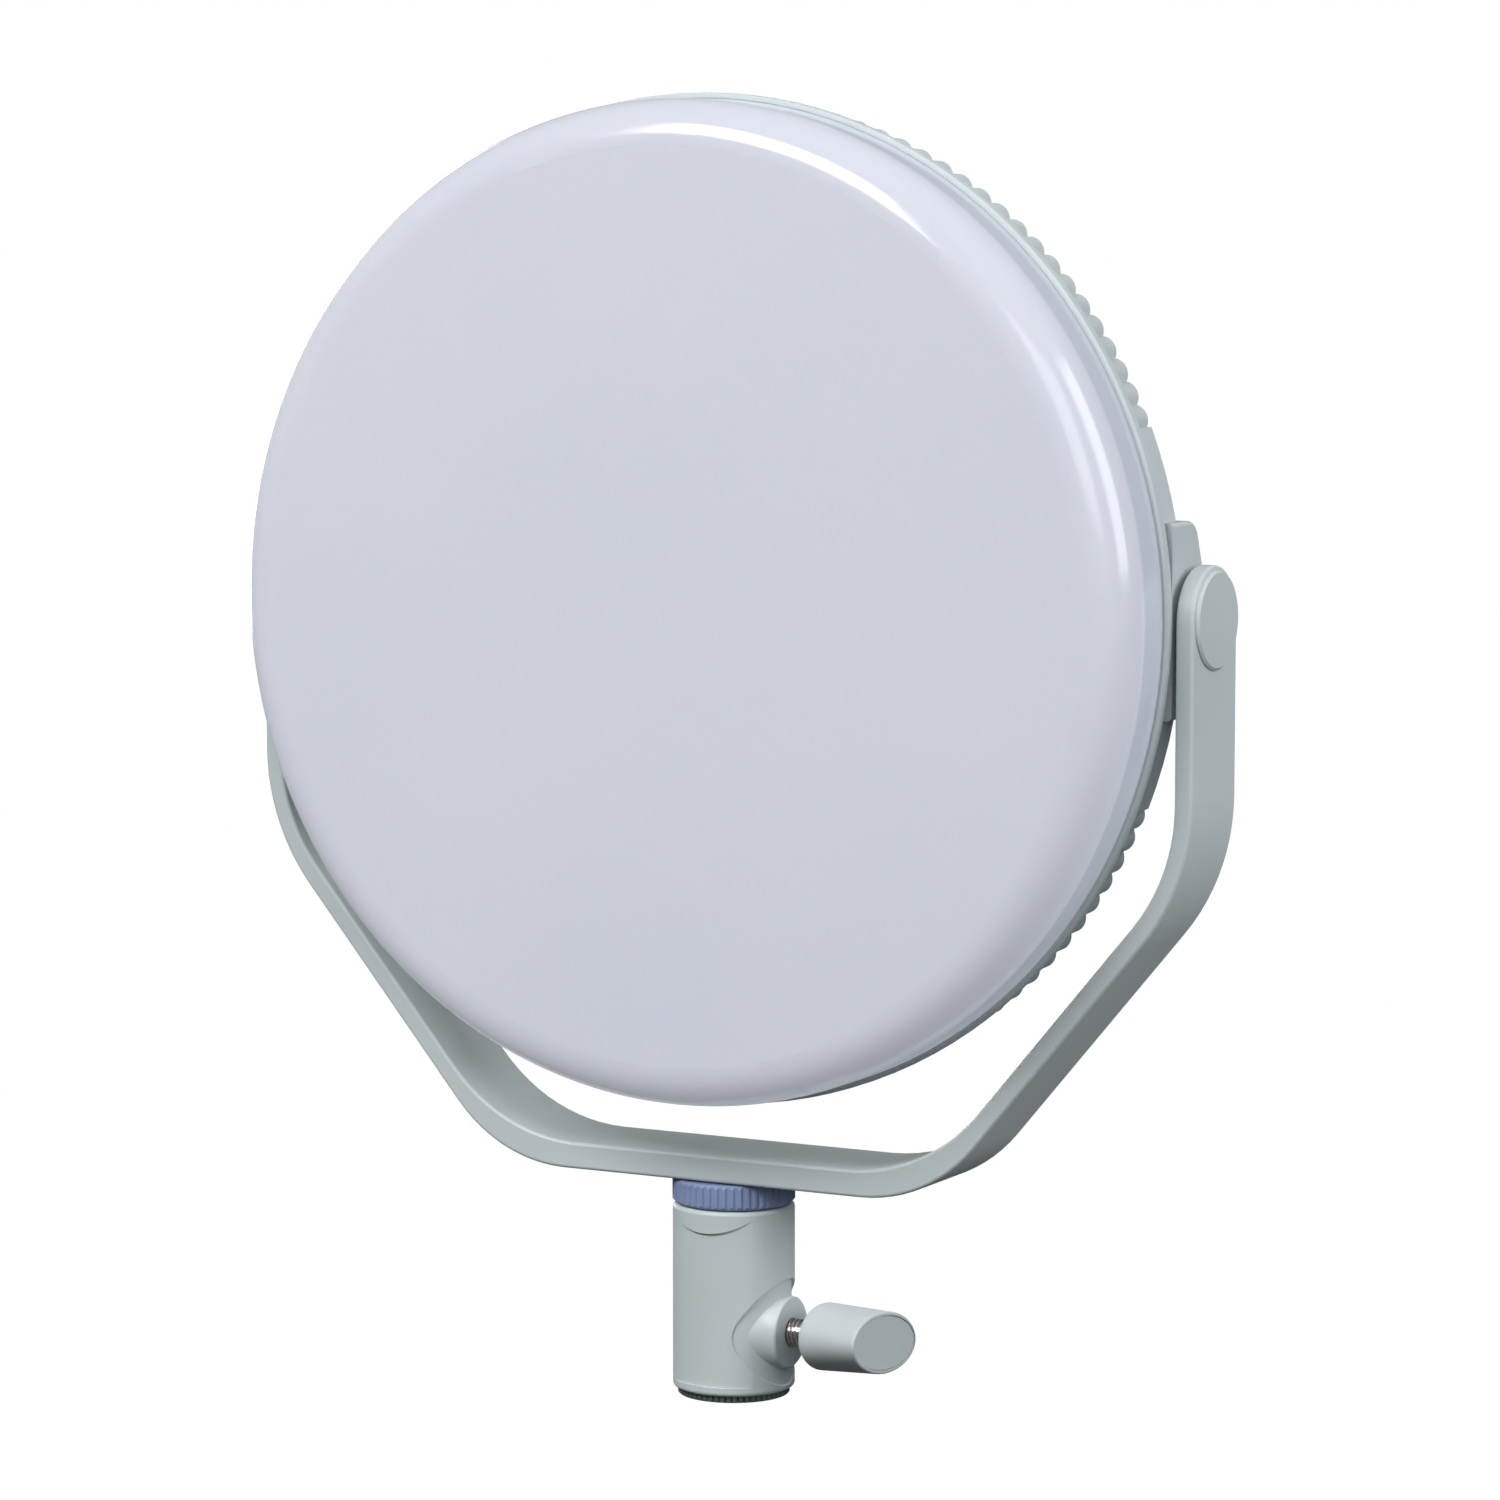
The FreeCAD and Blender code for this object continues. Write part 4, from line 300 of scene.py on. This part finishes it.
def pickEdges(piece, test):
    bpy.ops.object.mode_set(mode="EDIT")
    bpy.ops.mesh.select_mode(type="EDGE")
    bpy.ops.mesh.select_all(action="DESELECT")
    bpy.ops.object.mode_set(mode="OBJECT")
    points = piece.data.vertices
    for edge in piece.data.edges:
        edge.select = test(points[edge.vertices[0]].co, points[edge.vertices[1]].co)
    bpy.ops.object.mode_set(mode="EDIT")


def pickAllFaces(piece):
    pickFaces(piece, lambda c, n: True)


def copyPiece(piece, name, move):  # move is a matrix about the origin
    clearPick()
    piece.select_set(True)
    bpy.context.view_layer.objects.active = piece
    bpy.ops.object.duplicate(linked=False)
    twin = bpy.context.object
    twin.matrix_world = move
    bpy.ops.object.transform_apply(location=True, rotation=True, scale=True)
    twin.name = twin.data.name = name
    return twin


def joinPieces(parts, name):
    clearPick()
    for part in parts:
        part.select_set(True)
    bpy.context.view_layer.objects.active = parts[0]
    if len(parts) > 1:
        bpy.ops.object.join()
    whole = bpy.context.object
    whole.name = whole.data.name = name
    return whole


def endPiece(piece, finish, body, sharp=32):
    clearPick()
    piece.select_set(True)
    bpy.context.view_layer.objects.active = piece
    bpy.ops.object.shade_smooth_by_angle(angle=math.radians(sharp))
    piece.data.materials.clear()
    piece.data.materials.append(finish)
    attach(piece, body)
    return piece


def about(point, turn):  # a turn about a point, as one matrix
    return Matrix.Translation(point) @ turn @ Matrix.Translation(-point)


print("clamp thread")
low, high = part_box("clamp_screw")
clampScrew = {"root": 3.4, "crest": 4.0, "pitch": 1.25, "flat": 0.2, "turnSteps": 28, "spareTurns": 2,
              "weld": 0.005}
axisHeight = (low.z + high.z) / 2
turns = math.ceil((high.x - low.x) / (clampScrew["pitch"] * mm)) + clampScrew["spareTurns"]
clearPick()
bpy.ops.mesh.primitive_plane_add(size=mm, location=(low.x - clampScrew["pitch"] * mm, 0, axisHeight))
clampThread = bpy.context.object
clampThread.name = clampThread.data.name = "clampThread"
bpy.ops.object.mode_set(mode="EDIT")
bpy.ops.mesh.select_all(action="SELECT")
bpy.ops.mesh.merge(type="CENTER")
bpy.ops.transform.translate(value=(0, 0, clampScrew["root"] * mm))
rise = (clampScrew["crest"] - clampScrew["root"]) * mm
flank = (clampScrew["pitch"] - 2 * clampScrew["flat"]) / 2 * mm
flat = clampScrew["flat"] * mm
for step in ((flank, 0, rise), (flat, 0, 0), (flank, 0, -rise), (flat, 0, 0)):  # one tooth of the thread
    bpy.ops.mesh.extrude_vertices_move(TRANSFORM_OT_translate={"value": step})
bpy.ops.object.mode_set(mode="OBJECT")
winding = clampThread.modifiers.new("winding", "SCREW")
winding.axis = "X"
winding.angle = math.tau
winding.screw_offset = clampScrew["pitch"] * mm
winding.iterations = turns
winding.steps = winding.render_steps = clampScrew["turnSteps"]
winding.use_merge_vertices = True
winding.merge_threshold = hair
bpy.ops.object.modifier_apply(modifier="winding")
bpy.ops.object.transform_apply(location=True, rotation=True, scale=True)
for cut, side in ((low.x, -1), (high.x, 1)):
    bpy.ops.object.mode_set(mode="EDIT")
    bpy.ops.mesh.select_all(action="SELECT")
    bpy.ops.mesh.bisect(plane_co=(cut, 0, 0), plane_no=(side, 0, 0), use_fill=True, clear_outer=True)
    bpy.ops.object.mode_set(mode="OBJECT")
bpy.ops.object.mode_set(mode="EDIT")
bpy.ops.mesh.select_all(action="SELECT")
bpy.ops.mesh.remove_doubles(threshold=clampScrew["weld"] * mm)
bpy.ops.mesh.normals_make_consistent(inside=False)
endPiece(clampThread, threadSteel, "clamp_knob", 40)
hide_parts("clamp_screw")


print("cover screws")
coverScrew = {"head": 2.4, "headHeight": 1.1, "edge": 0.3, "dish": 1.35, "slot": 0.34, "recess": 0.7,
              "recessTaper": 0.72, "shank": 1.2, "tip": 0.5, "tipTaper": 0.5, "circle": 117.5,
              "firstAngle": 22.5, "count": 8, "twist": 37}
low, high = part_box("rear_cover_screws")
centre = Vector((0, 0, (low.z + high.z) / 2))
seat = Vector((coverScrew["circle"] * mm, high.y - coverScrew["headHeight"] / 2 * mm, centre.z))
clearPick()
bpy.ops.mesh.primitive_cylinder_add(vertices=48, radius=coverScrew["head"] * mm,
                                    depth=coverScrew["headHeight"] * mm, location=seat,
                                    rotation=(-math.pi / 2, 0, 0))
screw = startPiece("coverScrew")
pickEdges(screw, lambda a, b: min(a.y, b.y) > high.y - hair)
bpy.ops.mesh.bevel(offset=coverScrew["edge"] * mm, segments=4, affect="EDGES")
pickFaces(screw, lambda c, n: n.y > 0.99)
bpy.ops.mesh.inset(thickness=(coverScrew["head"] - coverScrew["edge"] - coverScrew["dish"]) * mm)
inDish = lambda c: (c - seat).xz.length < coverScrew["dish"] * mm and c.y > high.y - hair
for normal in ((1, 0, 0), (0, 0, 1)):
    for side in (-1, 1):
        pickFaces(screw, lambda c, n: n.y > 0.99 and inDish(c))
        bpy.ops.mesh.bisect(plane_co=seat + Vector(normal) * side * coverScrew["slot"] * mm, plane_no=normal)
slotWidth = coverScrew["slot"] * mm
pickFaces(screw, lambda c, n: n.y > 0.99 and inDish(c)
          and min(abs(c.x - seat.x), abs(c.z - seat.z)) < slotWidth)
bpy.ops.mesh.extrude_region_move(TRANSFORM_OT_translate={"value": (0, -coverScrew["recess"] * mm, 0)})
bpy.ops.transform.resize(value=(coverScrew["recessTaper"], 1, coverScrew["recessTaper"]), center_override=seat)
pickFaces(screw, lambda c, n: n.y < -0.99 and c.y < seat.y)
bpy.ops.mesh.inset(thickness=(coverScrew["head"] - coverScrew["shank"]) * mm)
bpy.ops.mesh.extrude_region_move(TRANSFORM_OT_translate={
    "value": (0, low.y + coverScrew["tip"] * mm - (high.y - coverScrew["headHeight"] * mm), 0)})
bpy.ops.mesh.extrude_region_move(TRANSFORM_OT_translate={"value": (0, -coverScrew["tip"] * mm, 0)})
bpy.ops.transform.resize(value=(coverScrew["tipTaper"], 1, coverScrew["tipTaper"]), center_override=seat)
bpy.ops.object.mode_set(mode="OBJECT")
screws = []
for index in range(coverScrew["count"]):
    angle = math.radians(coverScrew["firstAngle"] + 360 / coverScrew["count"] * index)
    spin = about(seat, Matrix.Rotation(math.radians(coverScrew["twist"] * index), 4, "Y"))
    orbit = about(centre, Matrix.Rotation(-angle, 4, "Y"))
    screws.append(copyPiece(screw, "coverScrew" + str(index + 1), orbit @ spin))
bpy.data.objects.remove(screw)
for piece in screws:
    endPiece(piece, zincSteel, "head", 30)
    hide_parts("rear_cover_screws")


print("vent mesh")
ventMesh = {"inner": 82.5, "outer": 104, "halfAngle": 39, "face": 11.8, "thickness": 0.3}
for name, side in (("ventMeshUpper", 1), ("ventMeshLower", -1)):
    clearPick()
    bpy.ops.mesh.primitive_circle_add(vertices=160, radius=ventMesh["outer"] * mm, fill_type="NGON",
                                      location=(0, ventMesh["face"] * mm, centre.z),
                                      rotation=(-math.pi / 2, 0, 0))
    sheet = startPiece(name)
    pickAllFaces(sheet)
    bpy.ops.mesh.inset(thickness=(ventMesh["outer"] - ventMesh["inner"]) * mm)
    pickFaces(sheet, lambda c, n: math.hypot(c.x, c.z - centre.z) < ventMesh["inner"] / 2 * mm)
    bpy.ops.mesh.delete(type="FACE")
    for turn in (-1, 1):
        edge = math.radians(90 - ventMesh["halfAngle"])
        pickAllFaces(sheet)
        bpy.ops.mesh.bisect(plane_co=(0, 0, centre.z), clear_outer=True,
                            plane_no=(turn * math.sin(edge), 0, -side * math.cos(edge)))
    pickAllFaces(sheet)
    bpy.ops.mesh.extrude_region_move(TRANSFORM_OT_translate={"value": (0, -ventMesh["thickness"] * mm, 0)})
    pickAllFaces(sheet)
    bpy.ops.mesh.normals_make_consistent(inside=False)
    endPiece(sheet, dustMesh, "head")


print("panel print")
ink = {"proud": 0.03, "sunk": 0.01, "weld": 0.002, "dotEdge": 0.012}
inkLift = (ink["proud"] - ink["sunk"]) / 2 * mm  # from the printed face to the middle of the ink
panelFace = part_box("control_panel")[1].y


def writeText(words, x, z, size, face, bold=0.0):  # reads from behind the light
    clearPick()
    bpy.ops.object.text_add(location=(x * mm, face + inkLift, z), rotation=(math.pi / 2, 0, math.pi))
    text = bpy.context.object
    text.data.body = words
    text.data.size = size * mm
    text.data.align_x = text.data.align_y = "CENTER"
    text.data.resolution_u = 3
    text.data.offset = bold * mm
    text.data.extrude = (ink["proud"] + ink["sunk"]) / 2 * mm
    bpy.ops.object.convert(target="MESH")
    bpy.ops.object.transform_apply(location=True, rotation=True, scale=True)
    bpy.ops.object.mode_set(mode="EDIT")
    bpy.ops.mesh.select_all(action="SELECT")
    bpy.ops.mesh.remove_doubles(threshold=ink["weld"] * mm)
    bpy.ops.object.mode_set(mode="OBJECT")
    return bpy.context.object


dialMarks = {"circle": 13.0, "count": 9, "sweep": 250, "smallest": 0.22, "largest": 0.55}
dialWord = {"rise": 16.8, "size": 3.0, "bold": 0.03}
dialSign = {"drop": 11.6, "aside": 6.6, "size": 3.4, "bold": 0.05}
keyWord = {"drop": 2.2, "size": 2.4, "bold": 0.025}
socketWord = {"rise": 6.2, "size": 2.6, "bold": 0.025}
clearPick()
bpy.ops.mesh.primitive_cylinder_add(vertices=20, radius=dialMarks["largest"] * mm,
                                    depth=(ink["proud"] + ink["sunk"]) * mm,
                                    location=(0, 0, 0), rotation=(-math.pi / 2, 0, 0))
dot = startPiece("dot")
pickEdges(dot, lambda a, b: min(a.y, b.y) > 0)
bpy.ops.mesh.bevel(offset=ink["dotEdge"] * mm, segments=2, affect="EDGES")
bpy.ops.object.mode_set(mode="OBJECT")
prints = []
for dial, word in (("brightness_dial", "DIM"), ("colour_dial", "CCT")):
    low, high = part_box(dial)
    middle = (low + high) / 2
    for index in range(dialMarks["count"]):
        share = index / (dialMarks["count"] - 1)
        angle = math.radians((0.5 - share) * dialMarks["sweep"])  # grows clockwise as seen from behind
        reach = dialMarks["circle"] * mm
        spot = Vector((middle.x + math.sin(angle) * reach, panelFace + inkLift,
                       middle.z + math.cos(angle) * reach))
        radius = dialMarks["smallest"] + (dialMarks["largest"] - dialMarks["smallest"]) * share
        scale = radius / dialMarks["largest"]
        prints.append(copyPiece(dot, "dot", Matrix.Translation(spot) @ Matrix.Diagonal((scale, 1, scale, 1))))
    x = middle.x / mm
    prints.append(writeText(word, x, middle.z + dialWord["rise"] * mm, dialWord["size"], panelFace,
                            dialWord["bold"]))
    for sign, side in (("-", 1), ("+", -1)):
        prints.append(writeText(sign, x + side * dialSign["aside"], middle.z - dialSign["drop"] * mm,
                                dialSign["size"], panelFace, dialSign["bold"]))
bpy.data.objects.remove(dot)
for key, word in (("back_button", "BACK"), ("mode_button", "MODE"), ("menu_button", "MENU")):
    low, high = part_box(key)
    prints.append(writeText(word, (low.x + high.x) / 2 / mm, low.z - keyWord["drop"] * mm, keyWord["size"],
                            panelFace, keyWord["bold"]))
endPiece(joinPieces(prints, "panelPrint"), whiteInk, "head")

prints = []
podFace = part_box("control_pod")[1].y
for socket, word in (("dc_inlet", "DC IN"), ("usb_shell", "USB"), ("rocker_frame", "POWER")):
    low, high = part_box(socket)
    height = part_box("control_pod")[0].z + socketWord["rise"] * mm
    prints.append(writeText(word, (low.x + high.x) / 2 / mm, height, socketWord["size"], podFace,
                            socketWord["bold"]))
endPiece(joinPieces(prints, "socketPrint"), darkInk, "head")


print("display")
low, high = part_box("display_module")
screen = {"aside": 10.2, "bigDrop": 1.6, "bigSize": 7.2, "bigBold": 0.05, "fiveSignShare": 0.82,
          "smallRise": 5.6, "smallSize": 2.8, "smallBold": 0.02}
glyphs = []
for side, small, big in ((1, "CCT", "5600K"), (-1, "DIM", "100%")):
    x = side * screen["aside"]
    middle = (low.z + high.z) / 2
    glyphs.append(writeText(small, x, middle + screen["smallRise"] * mm, screen["smallSize"], high.y,
                            screen["smallBold"]))
    size = screen["bigSize"] * (screen["fiveSignShare"] if len(big) == 5 else 1)
    glyphs.append(writeText(big, x, middle - screen["bigDrop"] * mm, size, high.y, screen["bigBold"]))
endPiece(joinPieces(glyphs, "displayGlyphs"), litGlyphs, "head")


print("dial pointers")
pointer = {"inner": 2.2, "outer": 6.3, "halfWidth": 0.45, "proud": 0.25, "sunk": 0.125, "corner": 0.42,
           "edge": 0.08, "recess": 0.6}
for dial in ("brightness_dial", "colour_dial"):
    low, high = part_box(dial)
    middle = (low + high) / 2
    floorY = high.y - pointer["recess"] * mm
    reach = (pointer["outer"] + pointer["inner"]) / 2 * mm
    clearPick()
    bpy.ops.mesh.primitive_cube_add(
        size=1, location=(middle.x, floorY + (pointer["proud"] - pointer["sunk"]) / 2 * mm, middle.z + reach),
        scale=(2 * pointer["halfWidth"] * mm, (pointer["proud"] + pointer["sunk"]) * mm,
               (pointer["outer"] - pointer["inner"]) * mm))
    mark = startPiece(dial.split("_")[0] + "Pointer")
    pickEdges(mark, lambda a, b: (a - b).xz.length < hair)
    bpy.ops.mesh.bevel(offset=pointer["corner"] * mm, segments=5, affect="EDGES")
    pickEdges(mark, lambda a, b: min(a.y, b.y) > floorY + pointer["proud"] * mm - hair)
    bpy.ops.mesh.bevel(offset=pointer["edge"] * mm, segments=2, affect="EDGES")
    endPiece(mark, whiteInk, dial)


print("rocker marks")
low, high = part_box("power_rocker")
rocker = {"aside": 3.1, "dip": 0.5, "barLong": 3.2, "barWide": 0.55, "barEdge": 0.04, "ringOuter": 1.55,
          "ringWide": 0.5, "thick": 0.12, "sunk": 0.03}
middle = (low + high) / 2
slope = math.atan2(rocker["dip"] * mm, (high.x - low.x) / 2)
atMark = low.z + rocker["dip"] * mm * (1 - rocker["aside"] * mm / ((high.x - low.x) / 2))
marks = []
for side in (-1, 1):
    spot = Vector((middle.x + side * rocker["aside"] * mm, middle.y,
                   atMark + (rocker["sunk"] - rocker["thick"] / 2) * mm))
    clearPick()
    if side < 0:
        bpy.ops.mesh.primitive_cube_add(size=1, location=spot, scale=(
            rocker["barWide"] * mm, rocker["barLong"] * mm, rocker["thick"] * mm))
        mark = startPiece("rockerOn")
        pickEdges(mark, lambda a, b: max(a.z, b.z) < spot.z)
        bpy.ops.mesh.bevel(offset=rocker["barEdge"] * mm, segments=2, affect="EDGES")
    else:
        bpy.ops.mesh.primitive_circle_add(vertices=40, radius=rocker["ringOuter"] * mm, fill_type="NGON",
                                          location=spot + Vector((0, 0, rocker["thick"] / 2 * mm)))
        mark = startPiece("rockerOff")
        pickAllFaces(mark)
        bpy.ops.mesh.inset(thickness=rocker["ringWide"] * mm)
        pickFaces(mark, lambda c, n: (c - spot).xy.length < rocker["ringWide"] / 2 * mm)
        bpy.ops.mesh.delete(type="FACE")
        pickAllFaces(mark)
        bpy.ops.mesh.extrude_region_move(TRANSFORM_OT_translate={"value": (0, 0, -rocker["thick"] * mm)})
        pickAllFaces(mark)
        bpy.ops.mesh.normals_make_consistent(inside=False)
    bpy.ops.object.mode_set(mode="OBJECT")
    mark.matrix_world = about(spot, Matrix.Rotation(side * slope, 4, "Y"))
    bpy.ops.object.transform_apply(location=True, rotation=True, scale=True)
    marks.append(mark)
endPiece(joinPieces(marks, "rockerMarks"), whiteInk, "power_rocker")


print("studio")
scene = bpy.context.scene
scene.view_settings.view_transform = "Standard"
studio = {"skyTop": 0.14, "skyLow": 0.09, "skyFrom": -0.3, "skyTo": 0.8, "skyTone": "#F2F5FA",
          "floorDrop": 1500, "floorRadius": 3200, "floorThickness": 6, "floorEdge": 2, "floorGlow": 0.55}
world = bpy.data.worlds.new("paleStudio")
scene.world = world
world.use_nodes = True
tree = world.node_tree
tree.nodes.clear()
seen = addNode(tree, "LightPath").outputs["Is Camera Ray"]
upward = addNode(tree, "SeparateXYZ", {0: addNode(tree, "TexCoord").outputs["Generated"]}).outputs["Z"]
glow = addNode(tree, "MapRange", {"Value": upward, "From Min": studio["skyFrom"], "From Max": studio["skyTo"],
                                  "To Min": studio["skyLow"], "To Max": studio["skyTop"]}).outputs["Result"]
ambient = addNode(tree, "Background", {"Color": linear(studio["skyTone"]), "Strength": glow})
backdrop = addNode(tree, "Background", {"Color": linear("#FFFFFF"), "Strength": 1.0})
mixed = addNode(tree, "MixShader", {0: seen, 1: ambient.outputs[0], 2: backdrop.outputs[0]})
addNode(tree, "OutputWorld", {"Surface": mixed.outputs[0]})

# floor of rolled matt paint; its glow stands in for lamps far away
floorFinish = makeFinish("paintedStudioFloor", {
    "tones": ("#E1E1DF", "#E6E6E4"), "patch": 220, "grain": 3, "height": 0.05, "rough": (0.6, 0.75)},
    IOR=1.45, **{"Emission Color": linear("#FFFFFF"), "Emission Strength": studio["floorGlow"]})
clearPick()
bpy.ops.mesh.primitive_cylinder_add(
    vertices=180, radius=studio["floorRadius"] * mm, depth=studio["floorThickness"] * mm,
    location=(0, 0, -(studio["floorDrop"] + studio["floorThickness"] / 2) * mm))
studioFloor = startPiece("studioFloor")
pickEdges(studioFloor, lambda a, b: min(a.z, b.z) > -studio["floorDrop"] * mm - 10 * hair)
bpy.ops.mesh.bevel(offset=studio["floorEdge"] * mm, segments=3, affect="EDGES")
clearPick()
studioFloor.data.materials.append(floorFinish)
studioFloor.visible_diffuse = studioFloor.visible_glossy = False  # it throws no light up at the part

target = Vector((0, 0, 0.18))  # half way up the part, in metres
softboxes = {  # place in metres, size in metres, power in watts, colour
    "keySoftbox": ((-0.5, -1.5, 1.5), (1.0, 0.8), 40, "#FFFFFF"),
    "frontSoftbox": ((1.2, -1.5, 1.0), (1.0, 1.0), 10, "#FFFFFF"),
    "rightSoftbox": ((1.7, 0.1, 0.9), (0.9, 1.2), 20, "#FBFCFF"),
    "rearSoftbox": ((0.2, 1.6, 1.2), (1.2, 0.9), 9, "#FFFFFF"),
    "rearSideSoftbox": ((-1.6, 1.1, 0.45), (0.9, 0.9), 14, "#FFFFFF"),
}
for name, (place, size, power, tone) in softboxes.items():
    lamp = bpy.data.lights.new(name, "AREA")
    lamp.shape = "RECTANGLE"
    lamp.size, lamp.size_y = size
    lamp.energy = power
    lamp.color = linear(tone)[:3]
    holder = bpy.data.objects.new(name, lamp)
    scene.collection.objects.link(holder)
    holder.location = place
    holder.rotation_euler = (target - Vector(place)).to_track_quat("-Z", "Y").to_euler()
    holder.visible_glossy = name != "rearSoftbox"  # the photograph has no mirror image of a lamp from there

# place in metres; looks down by the first angle and is swung to the left by the second
view = {"focal": 137.2687, "sensor": 36, "place": (0.74340, -1.37978, 0.36056), "down": 6.564, "left": 28.151}
lens = bpy.data.cameras.new("studioCamera")
lens.lens = view["focal"]
lens.sensor_width = view["sensor"]
camera = bpy.data.objects.new("studioCamera", lens)
scene.collection.objects.link(camera)
camera.location = view["place"]
camera.rotation_euler = (math.radians(90 - view["down"]), 0, math.radians(view["left"]))
scene.camera = camera
